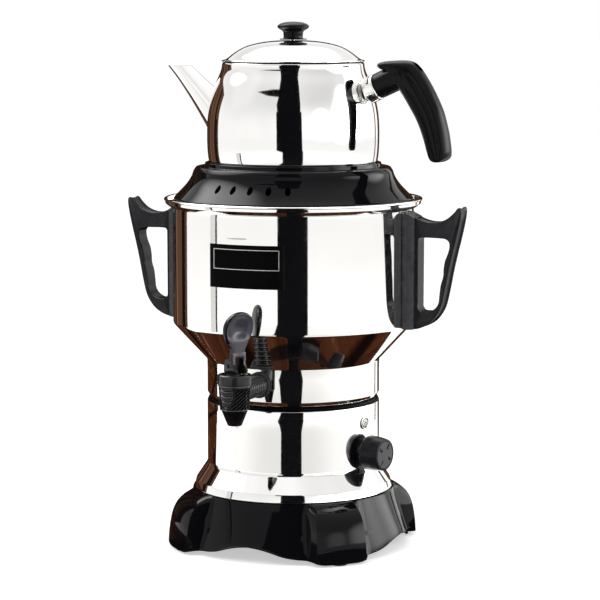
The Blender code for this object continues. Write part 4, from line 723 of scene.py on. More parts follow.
def makeSideHandles():
    h = handle
    outer = drawn(handleOuter, 4)
    opening = drawn(handleOpening, 4)
    foot = Vector((96.2, 177.6))
    head = Vector((96.2, 269.8))
    wallCount = 8
    outerLoop = outer + [foot.lerp(head, k / wallCount) for k in range(wallCount + 1)]
    sideways = opening + [opening[-1].lerp(opening[0], (k + 1) / (wallCount + 2)) for k in range(wallCount + 1)]
    half = h["width"] / 2
    layers = [(-half, 0.8), (-half + 0.25, 0.25), (-half + 0.8, 0), (-half + 1.7, 0)]
    layers += [(-half + 2.3, h["gutter"] * 0.45), (-half + 3.2, h["gutter"] * 0.8), (-half / 3, h["gutter"]), (0, h["gutter"] * 1.05)]
    layers += [(-across, depth) for across, depth in layers[-2::-1]]
    for side, angle in (("Left", -90), ("Right", 90)):
        loops = []
        for across, depth in layers:
            edge = depth if abs(across) > half - 1 else 0
            gutter = depth if abs(across) <= half - 1 else 0
            out = []
            shrunk = moved(outerLoop + outerLoop[:1], -(edge + gutter))
            for i, point in enumerate(outerLoop):
                onWall = i >= len(outer)
                at = shrunk[i].copy()
                if i == 0:
                    at = point - Vector((0, edge + gutter * 0.5))
                if onWall or i in (0, len(outer) - 1):
                    reach = tankReach(min(max(point.y, 179.5), 269.8)) + h["wallGap"]
                    at.x = max(math.sqrt(reach ** 2 - across ** 2), 60) if onWall else max(at.x, math.sqrt(reach ** 2 - across ** 2) + 0.2)
                    at.y = point.y + (edge + gutter * 0.5) * (1 if point.y < 200 else -1) if abs(point.y - 224) > 44 else point.y
                elif point.x > 130 and point.y > 262:
                    at = at.lerp(point, 0.6 * smoothStep(262, 270, point.y))
                out.append(at)
            grown = moved(sideways + sideways[:1], edge)
            loops.append(([(q.x * mm, across * mm, q.y * mm) for q in out], [(q.x * mm, across * mm, q.y * mm) for q in grown[:-1]]))
        bm = bmesh.new()
        made = [([bm.verts.new(p) for p in out], [bm.verts.new(p) for p in gap]) for out, gap in loops]
        count = len(outerLoop)
        for (outA, gapA), (outB, gapB) in zip(made, made[1:]):
            for i in range(count):
                j = (i + 1) % count
                bm.faces.new((outA[i], outA[j], outB[j], outB[i]))
                bm.faces.new((gapA[j], gapA[i], gapB[i], gapB[j]))
        for out, gap in (made[0], made[-1]):
            for i in range(count):
                j = (i + 1) % count
                bm.faces.new((out[i], gap[i], gap[j], out[j]))
        grip = newPiece(f"sideHandle{side}", bm, 40)
        joined(grip, mountingStrip())
        grip.rotation_euler = (0, 0, math.radians(angle - 90))
        onAxis(grip)
        dressed(grip, "root", "black_satin", looks["handle"], f"side_handle_{side.lower()}")
        grip.data.materials.append(looks["handleStrip"])
        for face in grip.data.polygons:                  # the strip stands wider than the grip, and takes a paler grey: a painted highlight on its flat face
            middle = face.center
            if abs(middle.x if abs(middle.y) > abs(middle.x) else middle.y) > (h["width"] / 2 + 0.6) * mm:
                face.material_index = 1


# Label plate: bare black with a thin silver frame

label = {
    "width": 62.6, "height": 33.4, "middle": 231.5, "thick": 0.45, "frameInset": 3.8, "frameTop": 3.4,
    "frameHeight": 15.6, "line": 0.5, "corner": 1.2,
}


def bentPlate(name, left, right, low, high, inner, outer, columns=24):
    rings = []
    for k in range(columns + 1):
        angle = math.degrees((left + (right - left) * k / columns) / boiler["wall"])
        rings.append([spot(across, angle, up) for across, up in
                      cornered([(inner, low), (outer, low, 0.15), (outer, high, 0.15), (inner, high)], 2)])
    return skinned(name, rings)


def makeLabel():
    p = label
    inner = boiler["wall"] + 0.05
    half, low, high = p["width"] / 2, p["middle"] - p["height"] / 2, p["middle"] + p["height"] / 2
    plate = bentPlate("labelPlate", -half, half, low, high, inner, inner + p["thick"])
    dressed(plate, "root", "black_satin", looks["label"], "front_label")
    face = inner + p["thick"]
    left, right = -half + p["frameInset"], half - p["frameInset"]
    top, bottom = high - p["frameTop"], high - p["frameTop"] - p["frameHeight"]
    for name, a, b, c, d in (
            ("labelLineTop", left, right, top - p["line"], top), ("labelLineBottom", left, right, bottom, bottom + p["line"]),
            ("labelLineLeft", left, left + p["line"], bottom + p["line"], top - p["line"]),
            ("labelLineRight", right - p["line"], right, bottom + p["line"], top - p["line"])):
        strip = bentPlate(name, a, b, c, d, face - 0.02, face + 0.05, 24 if b - a > 5 else 1)
        dressed(strip, "root", "black_satin", looks["silver"])


# Tap

tap = {
    "reach": 114.8, "radius": 12.2, "top": 143.2, "waist": 125.0, "waistRadius": 11.3, "nozzleTop": 10.2,
    "nozzleEnd": 112.5, "nozzleRadius": 5.0, "nozzleBore": 3.8, "shank": 8.2, "shankHeight": 136.8,
    "shieldHalf": 6.2, "shieldTurn": -10.0, "shieldFoot": 126.4, "groove": 0.75, "chevronPitch": 2.7, "chevronSlope": 0.75,
    "threadPitch": 3.7, "threadDepth": 1.2,
}


def tapSkin(angle, across, up):      # a shield with level grooves, and chevrons that rise from it
    t = tap
    if up < t["waist"] + 0.2 or up > t["top"] - 0.7 or across < t["waistRadius"] - 1.5:
        return 0
    around = (angle - t["shieldTurn"] + 180) % 360 - 180
    arc = abs(math.radians(around)) * across
    fade = smoothStep(t["waist"] + 0.2, t["waist"] + 0.8, up) * (1 - smoothStep(t["top"] - 1.5, t["top"] - 0.8, up))
    half = t["shieldHalf"] * math.sqrt(min(max((up - t["shieldFoot"]) / 9.0, 0), 1))
    if arc < half - 0.5:
        phase = ((up - 0.04 * arc ** 2 - 130.0) / 4.0) % 1
        return -t["groove"] * (math.exp(-((phase - 0.5) / 0.10) ** 2)) * fade + 0.25 * fade
    if arc < half + 0.2:
        return -t["groove"] * fade
    phase = ((up - t["chevronSlope"] * arc) / t["chevronPitch"]) % 1
    return -t["groove"] * (1 - phase) * fade


def makeTap():
    t = tap
    place = spot(t["reach"], 0, 0)
    rows = 72
    side = [(t["radius"] + (t["waistRadius"] - t["radius"]) * max(k / rows, 0), t["top"] - (t["top"] - t["waist"]) * k / rows)
            for k in range(rows + 1)]
    line = [Vector((0, t["top"]))] + [Vector(p) for p in side]
    line += cornered([(t["waistRadius"], t["waist"]), (t["nozzleTop"] + 0.2, t["waist"] - 0.2, 0.2), (t["nozzleTop"] - 0.4, t["waist"] - 1.4, 0.5),
                      (t["nozzleRadius"] + 0.5, t["nozzleEnd"] + 0.4, 0.5), (t["nozzleRadius"] - 0.1, t["nozzleEnd"], 0.3),
                      (t["nozzleBore"], t["nozzleEnd"], 0.2), (t["nozzleBore"], t["nozzleEnd"] + 14), (0, t["nozzleEnd"] + 14)], 4)[1:]
    body = turned("tapBody", line, 256, tapSkin, 50)
    body.location = place
    threads = []
    start, end = 10.5, 43.9
    count = int((end - start) / t["threadPitch"])
    for k in range(count):
        low = start + k * t["threadPitch"]
        threads += [(t["shank"] - t["threadDepth"], low), (t["shank"] - t["threadDepth"], low + 0.6),
                    (t["shank"], low + 1.7), (t["shank"], low + 2.2), (t["shank"] - t["threadDepth"], low + 3.3)]
    shank = turned("tapShank", [(0, 3.0), (t["shank"] - 1, 3.0)] + threads + [(t["shank"] - 0.4, end), (t["shank"] - 0.4, 58.6), (0, 58.6)], 72)
    joined(body, stood(shank, spot(t["reach"], 0, t["shankHeight"]), heading(180)))
    dressed(body, "root", "black_satin", looks["tapBlack"], "tap_body")

    ring = cornered([(2.9, 152.0), (5.0, 152.0), (5.6, 151.2, 0.4), (9.4, 151.2, 0.4), (10.2, 152.0, 0.5), (12.3, 152.0, 0.4),
                     (13.1, 151.2, 0.4), (13.1, 144.6, 0.2), (12.7, 144.2, 0.2), (12.7, 143.4), (10.9, 143.4), (10.9, 150.0), (2.9, 150.0)], 4)
    bonnet = turned("tapBonnet", ring, 144)
    bonnet.location = place
    dressed(bonnet, "root", "black_satin", looks["tapBlack"], "tap_bonnet")
    washer = turned("tapGasket", cornered([(8.5, 2.2), (8.5, 0.3), (10.2, 0.3, 0.5), (10.2, 1.5, 0.6), (9.4, 2.2, 0.3)], 4), 72)
    dressed(stood(washer, spot(69.1, 0, t["shankHeight"]), heading(0)), "root", "rubber", looks["rubber"], "tap_gasket")


# Lever: an even-rise heel under a fork, and a dished paddle. It faces to one side of the tap.

lever = {
    "turn": 60.0, "pin": 158.5, "heelRest": 6.2, "heelLift": 4.0, "heelBack": 5.6, "travel": 47.0, "fork": 12.2, "slot": 8.0,
    "forkTop": 166.2, "blockTop": 163.0, "front": 6.4, "plate": 4.8, "paddleTop": 200.2, "paddle": 26.5, "bend": 4.2, "lip": 0.9, "dish": 3.3,
}
paddleSides = [
    (0.0, 0.445), (0.06, 0.445), (0.14, 0.49), (0.24, 0.63), (0.34, 0.80), (0.44, 0.925), (0.54, 0.985), (0.62, 1.0), (0.71, 0.975),
    (0.80, 0.89), (0.88, 0.74), (0.945, 0.52), (0.985, 0.28), (1.0, 0.10),
]


def makeLever():
    v = lever
    heel = [(-v["heelBack"], -v["heelRest"] + 1.4), (-v["heelBack"] * 0.75, -v["heelRest"])]
    for k in range(15):
        turn = math.radians(v["travel"]) * k / 14
        reach = v["heelRest"] + v["heelLift"] * turn
        heel.append((reach * math.sin(turn) + v["heelLift"] * math.cos(turn), -reach * math.cos(turn) + v["heelLift"] * math.sin(turn)))
    blockTop, forkTop = v["blockTop"] - v["pin"], v["forkTop"] - v["pin"]
    heel += [(v["front"] + 1.2, -0.5), (v["front"], 1.5), (v["front"], forkTop + 3.0), (v["front"] - v["plate"], forkTop + 3.0),
             (v["front"] - v["plate"] - 0.4, blockTop + 0.6), (-v["heelBack"] + 1.6, blockTop), (-v["heelBack"], blockTop - 1.8)]
    rings = [[(side * v["fork"] / 2 * mm, -across * mm, up * mm) for across, up in heel] for side in (-1, 1)]
    made = rounded(skinned("leverBody", rings), 0.7)

    low, high = forkTop + 0.5, v["paddleTop"] - v["pin"]
    middle = v["front"] - v["plate"] / 2
    rings = []
    for share, width in drawn([(a, b) for a, b in paddleSides], 4):
        half = v["paddle"] / 2 * max(width, 0.08)
        bend = v["bend"] * smoothStep(0.35, 1.15, share) * share
        round = math.sqrt(max(1 - (max(share - 0.84, 0) / 0.165) ** 2, 0.03))
        thick = v["plate"] / 2 * (1 + 0.35 * smoothStep(0.3, 0.7, share)) * round
        ring = []
        for k in range(64):
            turn = math.tau * k / 64
            across = math.copysign(abs(math.cos(turn)) ** 0.45, math.cos(turn)) * half
            deep = math.copysign(abs(math.sin(turn)) ** 0.6, math.sin(turn)) * thick
            if deep > 0:
                reach = math.hypot(across / (v["paddle"] / 2 - 1.7), (share - 0.585) / 0.37)
                deep -= v["lip"] * (1 - smoothStep(0.92, 1.0, reach)) * smoothStep(0.30, 0.5, share)
                hollow = math.hypot((across - 1.6) / (v["paddle"] / 2 - 4.2), (share - 0.60) / 0.27)
                deep -= v["dish"] * (1 - smoothStep(0.15, 1.0, hollow))
            ring.append((across * mm, -(middle + deep + bend) * mm, (low + (high - low) * share) * mm))
        rings.append(ring)
    joined(made, skinned("paddle", rings, sharp=50))
    carved(made, block("forkSlot", (v["slot"] * mm, 60 * mm, 22 * mm), (0, 0, (forkTop - 11) * mm)), sharp=50)
    hole = turned("pinHole", [(0, -20), (1.7, -20), (1.7, 20), (0, 20)], 32)
    carved(made, stood(hole, (0, 0, 0), (1, 0, 0)), sharp=50)
    made.location = spot(tap["reach"], 0, v["pin"])
    made.rotation_euler = (0, 0, math.radians(v["turn"]))
    dressed(made, "lever", "grey_black", looks["lever"], "tap_lever")
    made.data.materials.append(looks["paddle"])
    for face in made.data.polygons:      # the thumb's side of the paddle is paler within its rim: a painted highlight on its front faces
        share = (face.center.z / mm - low) / (high - low)
        reach = math.hypot(face.center.x / mm / (v["paddle"] / 2 - 1.5), (share - 0.585) / 0.385)
        if face.normal.y < -0.3 and face.center.z > blockTop * mm and (share < 0.3 or reach < 1):
            face.material_index = 1
    pin = turned("leverPin", cornered([(0, 6.6), (1.35, 6.6, 0.3), (1.35, -6.6, 0.3), (0, -6.6)], 3), 32)
    dressed(stood(pin, spot(tap["reach"], 0, v["pin"]), heading(v["turn"] + 90)), "lever", "plain_steel", looks["darkSteel"], "lever_pin")


# Steam collar

collar = {
    "lipInner": 67.4, "lipTop": 306.2, "top": 302.8, "edge": 277.8, "edgeRadius": 95.5, "wall": 2.2, "seat": 300.8, "hole": 50.0,
    "spigot": 93.7, "spigotFoot": 260.0, "vents": 5, "ventPitch": 10.0, "ventHeight": 288.4, "ventWidth": 4.6, "ventLength": 8.2,
}


def collarLine():
    return eased([(79.4, 299.4), (80.2, 296.4), (81.9, 293.2), (84.0, 290.0), (86.8, 286.8), (89.9, 283.6),
                  (93.0, 280.5), (95.0, 278.6)], 5)


def makeCollar():
    c = collar
    side = collarLine()
    head = cornered([(c["lipInner"], c["seat"]), (c["lipInner"], c["lipTop"], 0.4), (c["lipInner"] + 2.6, c["lipTop"], 0.7),
                     (c["lipInner"] + 2.9, c["top"], 0.8), (77.2, c["top"], 1.6), (79.4, 299.4)], 5)
    tail = cornered([tuple(side[-1]), (c["edgeRadius"], c["edge"], 0.6), (94.6, 276.2, 0.6), (c["spigot"], 272.6, 0.8),
                     (c["spigot"], c["spigotFoot"], 0.5), (c["spigot"] - c["wall"], c["spigotFoot"], 0.5), (c["spigot"] - c["wall"], 273.4, 1.0),
                     (92.2, 276.6)], 4)
    inner = moved(side, -c["wall"])[::-1]
    inner = [point for point in inner if point.x < 91.4 and point.y < 296.5]
    under = c["seat"] - 2.5
    outline = head[:-1] + side + tail[1:] + inner + [Vector(p) for p in ((70.0, under), (c["hole"], under), (c["hole"], c["seat"]))]
    made = onAxis(turned("collarShell", outline, 256, None, 32))
    for k in range(c["vents"]):
        angle = (k - (c["vents"] - 1) / 2) * c["ventPitch"]
        reach = next(a.x for a, b in zip(side, side[1:]) if b.y <= c["ventHeight"] <= a.y)
        bit = turned("ventCutter", cornered([(0, -6), (c["ventWidth"] / 2, -6), (c["ventWidth"] / 2, 6), (0, 6)]), 40)
        bit.data.transform(Matrix.Diagonal((1, c["ventLength"] / c["ventWidth"], 1, 1)))
        bit.matrix_world = (Matrix.Translation(spot(reach, angle, c["ventHeight"])) @ Matrix.Rotation(math.radians(angle), 4, "Z")
                            @ Matrix.Rotation(math.radians(44), 4, "X"))
        carved(made, bit, sharp=32)
    return dressed(made, "collar", "black_gloss", looks["gloss"], "steam_collar")


# Teapot

pot = {"sheet": 1.0, "floor": 301.1, "rim": 385.0, "spoutAngle": -94.0, "handleAngle": 86.0}


def potLine():
    neck = [Vector((55.3, 385.0)), Vector((56.3, 383.5))]
    side = eased([(56.3, 383.5), (56.3, 382.2), (56.7, 379.6), (58.4, 375.0), (60.9, 369.4), (63.9, 360.4), (66.2, 352.4), (67.6, 344.4),
                  (68.3, 335.0), (68.4, 320.0), (67.7, 311.5), (66.9, 306.2), (65.5, 303.0), (63.2, 301.5), (60.0, 301.1), (56.0, 301.1)], 6)
    return neck[:1] + side + [Vector((0, 301.1))]


def makePot():
    made = onAxis(turned("potBody", sheetOf(potLine(), pot["sheet"]), 224))
    return dressed(made, "teapot", "polished_steel", looks["steel"], "pot_body")


def inPlane(point, angle, aside=0.0):                # a side-view point, in metres round the axis
    out = heading(angle)
    across = Vector((0, 0, 1)).cross(out)
    return Vector((0, axisY, 0)) + out * point[0] * mm + across * aside * mm + Vector((0, 0, point[1] * mm))


spout = {
    "root": (62.0, 338.5), "tip": (104.5, 382.5), "rootRadius": 15.3, "tipRadius": 6.6, "mouth": 381.2, "sheet": 0.9, "crease": 0.7, "creaseTurn": 12.0,
}


def spoutShell(name, shrink, before, beyond):
    s = spout
    root, tip = Vector(s["root"]), Vector(s["tip"])
    run = (tip - root).normalized()
    up = Vector((-run.y, run.x))
    rings = []
    for k in range(13):
        along = -before + ((tip - root).length + before + beyond) * k / 12
        share = along / (tip - root).length
        radius = s["rootRadius"] + (s["tipRadius"] - s["rootRadius"]) * share
        radius += 1.1 * max(share - 0.8, 0) ** 2 * 12 - 0.9 * math.sin(math.pi * min(max(share, 0), 1)) - shrink
        centre = root + run * along
        ring = []
        for i in range(120):
            turn = math.tau * i / 120
            ridge = -s["crease"] * math.exp(-((math.degrees(turn) + 90 - s["creaseTurn"]) % 180 - 90) ** 2 / 12)
            flat = centre + up * math.sin(turn) * (radius + ridge) * 1.02
            ring.append(inPlane(flat, pot["spoutAngle"], math.cos(turn) * (radius + ridge) * 0.96))
        rings.append(ring)
    return skinned(name, rings)


def makeSpout():
    made = spoutShell("potSpout", 0, 0, 8)
    carved(made, spoutShell("spoutBore", spout["sheet"], 4, 12))
    line = moved(potLine(), 0.3)
    swollen = onAxis(turned("potSwollen", [Vector((0, line[0].y))] + line[:-1] + [Vector((0, line[-1].y))], 128))
    carved(made, swollen)
    lid = block("mouthCut", (0.25, 0.25, 0.04), (0, 0, 0.02))
    lid.location = inPlane((100, spout["mouth"]), pot["spoutAngle"])
    carved(made, lid)
    return dressed(made, "teapot", "polished_steel", looks["steel"], "pot_spout")


# Teapot handle: a socket on a ferrule, and a ribbed grip that bends down

grip = {
    "angle": 86.0, "start": (74.0, 367.0), "rise": 24.0, "socket": 10.1, "socketLength": 27.0, "ferrule": 10.4, "ferruleLength": 9.2,
    "width": 19.0, "grooves": (-0.30, 0.30), "grooveWidth": 0.13, "grooveDepth": 1.3, "boltRadius": 2.0,
}
gripOuter = [
    (74.9, 383.4), (76.6, 385.2), (80.5, 386.2), (86.0, 386.8), (91.0, 387.1), (95.7, 387.2), (100.2, 386.9), (104.4, 385.6),
    (108.6, 382.2), (112.6, 377.0), (118.6, 367.8), (123.6, 358.6), (127.9, 349.5), (130.7, 340.4), (133.0, 331.2), (134.4, 322.1),
    (134.8, 316.4), (133.9, 312.9), (131.2, 310.7), (128.6, 309.6),
]
gripInner = [
    (75.4, 381.8), (77.4, 380.4), (80.8, 379.2), (84.6, 377.4), (88.0, 373.8), (90.8, 369.0), (93.0, 364.8), (95.0, 362.0),
    (97.8, 358.0), (100.4, 354.0), (104.2, 347.9), (108.0, 341.4), (111.0, 334.8), (113.4, 328.4), (115.3, 322.6), (117.0, 317.0),
    (118.6, 312.6), (120.4, 310.4), (123.0, 309.3), (125.6, 309.2),
]


def makeGrip():
    g = grip
    rings = []
    outer, inner = drawn(gripOuter, 4), drawn(gripInner, 4)
    last = len(outer) - 1
    for k, (high, low) in enumerate(zip(outer, inner)):
        middle, arm = (high + low) / 2, (high - low) / 2
        ends = min(smoothStep(-4, 9, k), smoothStep(-3, 10, last - k))
        half = g["width"] / 2 * (0.45 + 0.55 * ends)
        grooved = smoothStep(26, 36, k) * smoothStep(0, 12, last - k)
        ring = []
        for i in range(64):
            turn = math.tau * i / 64
            out = math.copysign(abs(math.cos(turn)) ** 0.72, math.cos(turn))
            side = math.copysign(abs(math.sin(turn)) ** 0.72, math.sin(turn))
            depth = sum(math.exp(-((out - at) / g["grooveWidth"]) ** 2) for at in g["grooves"]) * g["grooveDepth"] * grooved
            aside = math.copysign(max(abs(side) * half - depth * min(abs(side) * 2, 1), 0), side)
            ring.append(inPlane(middle + arm * out, g["angle"], aside))
        rings.append(ring)
    made = skinned("gripBody", rings, sharp=50)
    out = heading(g["angle"], g["rise"])
    socket = turned("gripSocket", cornered([(0, 0), (g["socket"] - 0.2, 0, 0.5), (g["socket"], 6), (g["socket"] * 0.985, g["socketLength"], 3.0),
                                            (0, g["socketLength"])], 5), 96)
    start = inPlane(g["start"], g["angle"])
    joined(made, stood(socket, start, out))
    well = turned("boltWell", cornered([(0, 25), (3.4, 25), (3.4, 60), (0, 60)]), 40)
    well.data.transform(Matrix.Diagonal((1.0, 1.5, 1, 1)))
    stood(well, start, out)
    carved(made, well, sharp=50)
    bore = turned("boltBore", [(0, -5), (2.3, -5), (2.3, 40), (0, 40)], 32)
    carved(made, stood(bore, start, out), sharp=50)
    dressed(made, "teapot", "black_satin", looks["satin"], "pot_handle")

    ferrule = turned("gripFerrule", cornered([(2.3, 0), (g["ferrule"] - 0.6, 0, 0.3), (g["ferrule"], 0.8, 0.5), (g["ferrule"], 8.4, 0.5),
                                              (g["ferrule"] - 0.5, g["ferruleLength"], 0.3), (2.3, g["ferruleLength"])], 4), 96)
    dressed(stood(ferrule, start - out * (g["ferruleLength"] + 0.3) * mm, out), "teapot", "polished_steel", looks["steel"], "pot_ferrule")
    bolt = screwPiece("gripBolt", 3.3, 2.6, 1.95, 34.5, start + out * 24.1 * mm, out)
    dressed(bolt, "teapot", "plain_steel", looks["dullSteel"], "pot_handle_bolt")


def makeBracket():                   # the pressed saddle that carries the ferrule
    g = grip
    out = heading(g["angle"], g["rise"])
    start = inPlane(g["start"], g["angle"]) - out * (g["ferruleLength"] + 0.3) * mm
    back = 17.0
    rings = []
    for along, wide, tall in ((-0.3, 6.3, 8.0), (-1.2, 6.6, 8.3), (-4.0, 6.2, 7.8), (-7.0, 6.6, 8.6), (-10.0, 8.2, 10.6), (-back, 9.0, 11.6)):
        ring = []
        for i in range(48):
            turn = math.tau * i / 48
            across = math.copysign(abs(math.cos(turn)) ** 0.5, math.cos(turn)) * wide
            up = math.copysign(abs(math.sin(turn)) ** 0.5, math.sin(turn)) * tall
            ring.append((across * mm, up * mm, along * mm))
        rings.append(ring)
    made = stood(skinned("gripBracket", rings), start, out)
    line = moved(potLine(), 0.25)
    swollen = onAxis(turned("potSwollen", [Vector((0, line[0].y))] + line[:-1] + [Vector((0, line[-1].y))], 128))
    carved(made, swollen)
    return dressed(made, "teapot", "polished_steel", looks["steel"], "pot_bracket")


# Lid and its knob

lid = {"edge": 385.6, "radius": 56.4, "top": 402.2, "sheet": 1.0, "ring": 54.0, "ringFoot": 379.2}


def makeLid():
    p = lid
    dome = eased([(2.2, p["top"]), (10.0, 402.1), (18.0, 401.5), (25.0, 400.6), (32.8, 398.9), (37.6, 397.3), (41.0, 395.7), (44.0, 394.0),
                  (47.0, 392.0), (49.8, 389.8), (52.2, 387.8), (54.2, 386.9), (55.6, 386.6)], 5)
    rim = cornered([tuple(dome[-1]), (p["radius"], 386.5, 0.4), (p["radius"], p["edge"] - 0.2, 0.4), (p["ring"] + 0.2, p["edge"] - 0.2), (p["ring"], p["edge"] - 0.4),
                    (p["ring"], p["ringFoot"], 0.4), (p["ring"] - p["sheet"], p["ringFoot"], 0.4), (p["ring"] - p["sheet"], 385.6)], 4)
    under = [point for point in moved(dome, -p["sheet"])[::-1] if point.x < p["ring"] - 2.2]
    made = onAxis(turned("lidShell", dome + rim[1:] + under, 224))
    dressed(made, "lid", "polished_steel", looks["steel"], "pot_lid")
    made.data.materials.append(looks["darkSteel"])
    for face in made.data.polygons:      # the rim's underside is painted near black: painted shade in the gap under the rim
        if face.normal.z < -0.5 and face.center.xy.length > (p["ring"] + 0.1) * mm:
            face.material_index = 1

    cap = [Vector((0, 416.8))] + drawn([(0, 416.8), (5.0, 416.5), (9.2, 415.6), (11.8, 414.2), (12.5, 412.9), (11.9, 411.7), (10.0, 410.4),
                                        (8.4, 409.3), (7.8, 408.0)], 4)[1:]
    stem = cornered([(7.8, 408.0), (7.6, 405.0, 6), (7.8, 403.6, 0.5), (10.6, 403.3, 0.3), (10.7, 402.6, 0.2), (1.8, 402.6)], 4)
    knobPiece = onAxis(turned("lidKnob", cap + stem[1:] + [Vector((1.8, 410.0)), Vector((0, 410.0))], 112))
    dressed(knobPiece, "lid", "black_satin", looks["satin"], "lid_knob")


# Carried-over pieces: their own finishes

carried = {
    "dullSteel": ["casing_screw_1", "casing_screw_2", "casing_screw_3", "tank_nut_1", "tank_nut_2", "tank_nut_3", "heater_element",
                  "thermostat_nut", "lid_knob_screw"],
    "darkSteel": ["valve_stem"],
    "satin": ["tap_nut"],
    "silicone": ["heater_gasket_1", "heater_gasket_2", "seat_cup"],
    "brass": ["heater_nut_1", "heater_nut_2", "thermostat_shaft", "sensor_bulb"],
    "brownWire": ["lead_thermostat"],
    "blueWire": ["lead_heater", "lead_lamp"],
    "cream": ["terminal_block", "thermostat_body", "indicator_lamp"],
}


def finishCarried():
    for look, names in carried.items():
        for name in names:
            nodes[name].data.materials.clear()
            nodes[name].data.materials.append(looks[look])


# Studio: floor, backdrop, reflected surroundings, lamps and camera

view = {"azimuth": 22.8, "elevation": 7.0, "distance": 1.870, "height": 0.1955, "aside": 0.00536, "focal": 140.22}
studio = {
    "diffuse": 0.62, "camera": 1.0, "key": 9.0, "fill": 5.0, "leftSky": 0.97, "rightSky": 1.06,
    "wood": (0.105, 0.034, 0.014), "woodDark": (0.007, 0.003, 0.002), "woodPale": (0.36, 0.23, 0.16), "streak": (0.19, 0.095, 0.058),
    "plankTurn": 85.0, "plankScale": 6.8,
}
darkWay = [                          # the dark gap between the lights: height, first and last angle
    (0.0, -15.3, 10.1), (30, -17.0, 11.5), (50, -19.5, 12.4), (80, -16.0, 12.5), (113, -13.7, 12.5), (225, -13.6, 12.4),
    (240, -20.8, 11.5), (338, -20.8, 10.7), (520, -22.0, 10.4),
]
nearWay = [(388, -18.0, 8.0), (418, -19.8, 8.4), (445, -18.4, 8.2), (560, -18.8, 6.6)]
softBoxes = [                        # angle, climb, inner and outer half width, brightness (below 0, a shade)
    (76, 6, 4, 26, 6.0), (106, 9, 4, 26, 6.0), (-116, 50, 4, 30, 8.0), (180, 66, 6, 32, 4.0), (38, 6, 2, 16, 2.0),
    (-85, 38, 12, 28, 0.11), (42, 42, 8, 34, -0.14),
]
skyBands = [                         # what the steel mirrors, from straight down to straight up
    (0.0, 0.77), (0.44, 0.86), (0.50, 0.89), (0.56, 0.86), (0.64, 0.77), (0.72, 0.67), (0.78, 0.69), (0.86, 0.82), (0.92, 0.88), (1.0, 0.88),
]


def stageCard(name, bm, look):
    obj = newPiece(name, bm)
    obj.data.materials.append(look)
    return obj


def onlyReflected(obj):
    obj.visible_camera = False
    obj.visible_diffuse = False
    obj.visible_shadow = False
    obj.visible_transmission = False
    return obj


def flatCard(name, centreAngle, halfAngle, reach, low, high, look, steps=8):
    bm = bmesh.new()
    rows = []
    for k in range(steps + 1):
        at = math.radians(view["azimuth"] + centreAngle + halfAngle * (2 * k / steps - 1))
        foot = Vector((math.sin(at) * reach, axisY - math.cos(at) * reach, low))
        rows.append((bm.verts.new(foot), bm.verts.new(foot + Vector((0, 0, high - low)))))
    for (a, b), (c, d) in zip(rows, rows[1:]):
        bm.faces.new((a, c, d, b))
    return onlyReflected(stageCard(name, bm, look))


def profileCard(name, reach, rows, look, steps=6):   # rows of height, first and last angle, in millimetres
    bm = bmesh.new()
    made = []
    for height, first, last in rows:
        made.append([])
        for k in range(steps + 1):
            at = math.radians(view["azimuth"] + first + (last - first) * k / steps)
            made[-1].append(bm.verts.new((math.sin(at) * reach, axisY - math.cos(at) * reach, height * mm)))
    for low, high in zip(made, made[1:]):
        for k in range(steps):
            bm.faces.new((low[k], low[k + 1], high[k + 1], high[k]))
    return onlyReflected(stageCard(name, bm, look))


def glowOf(name, colour, strength=1.0):
    look = bpy.data.materials.new(name)
    look.use_nodes = True
    tree = look.node_tree
    tree.nodes.clear()
    glow = node(tree, "Emission", Color=(*colour, 1), Strength=strength)
    out = tree.nodes.new("ShaderNodeOutputMaterial")
    tree.links.new(glow.outputs[0], out.inputs[0])
    return look, tree, glow


def woodGlow(name, middle, scale, stretch=(1.0, 0.12, 0.12), planks=None):       # planks, for what the steel mirrors of its surroundings
    look, tree, glow = glowOf(name, middle)
    place = node(tree, "TexCoord").outputs["Object"]
    turnedPlace = node(tree, "Mapping", Vector=place, Rotation=(0, 0, math.radians(studio["plankTurn"])), Scale=stretch)
    grain = node(tree, "TexNoise", Vector=turnedPlace.outputs[0], Scale=scale, Detail=5.0, Roughness=0.7)
    spread = node(tree, "MapRange", Value=grain.outputs[0], in1=0.30, in2=0.68)
    plank = node(tree, "TexWave", {"wave_type": "BANDS", "bands_direction": "X", "wave_profile": "SIN"}, Vector=turnedPlace.outputs[0],
                 Scale=planks or studio["plankScale"], Distortion=0.4)
    gap = node(tree, "MapRange", Value=plank.outputs[1], in1=0.02, in2=0.16)
    both = node(tree, "Math", {"operation": "MULTIPLY"}, in0=spread.outputs[0], in1=gap.outputs[0])
    mix = node(tree, "Mix", {"data_type": "RGBA"}, in0=both.outputs[0], in6=(*studio["woodDark"], 1), in7=(*middle, 1))
    paleMask = node(tree, "MapRange", Value=grain.outputs[0], in1=0.60, in2=0.74)
    shine = node(tree, "Math", {"operation": "MULTIPLY"}, in0=paleMask.outputs[0], in1=gap.outputs[0])
    last = node(tree, "Mix", {"data_type": "RGBA"}, in0=shine.outputs[0], in6=mix.outputs[2], in7=(*studio["woodPale"], 1))
    tree.links.new(last.outputs[2], glow.inputs["Color"])
    return look


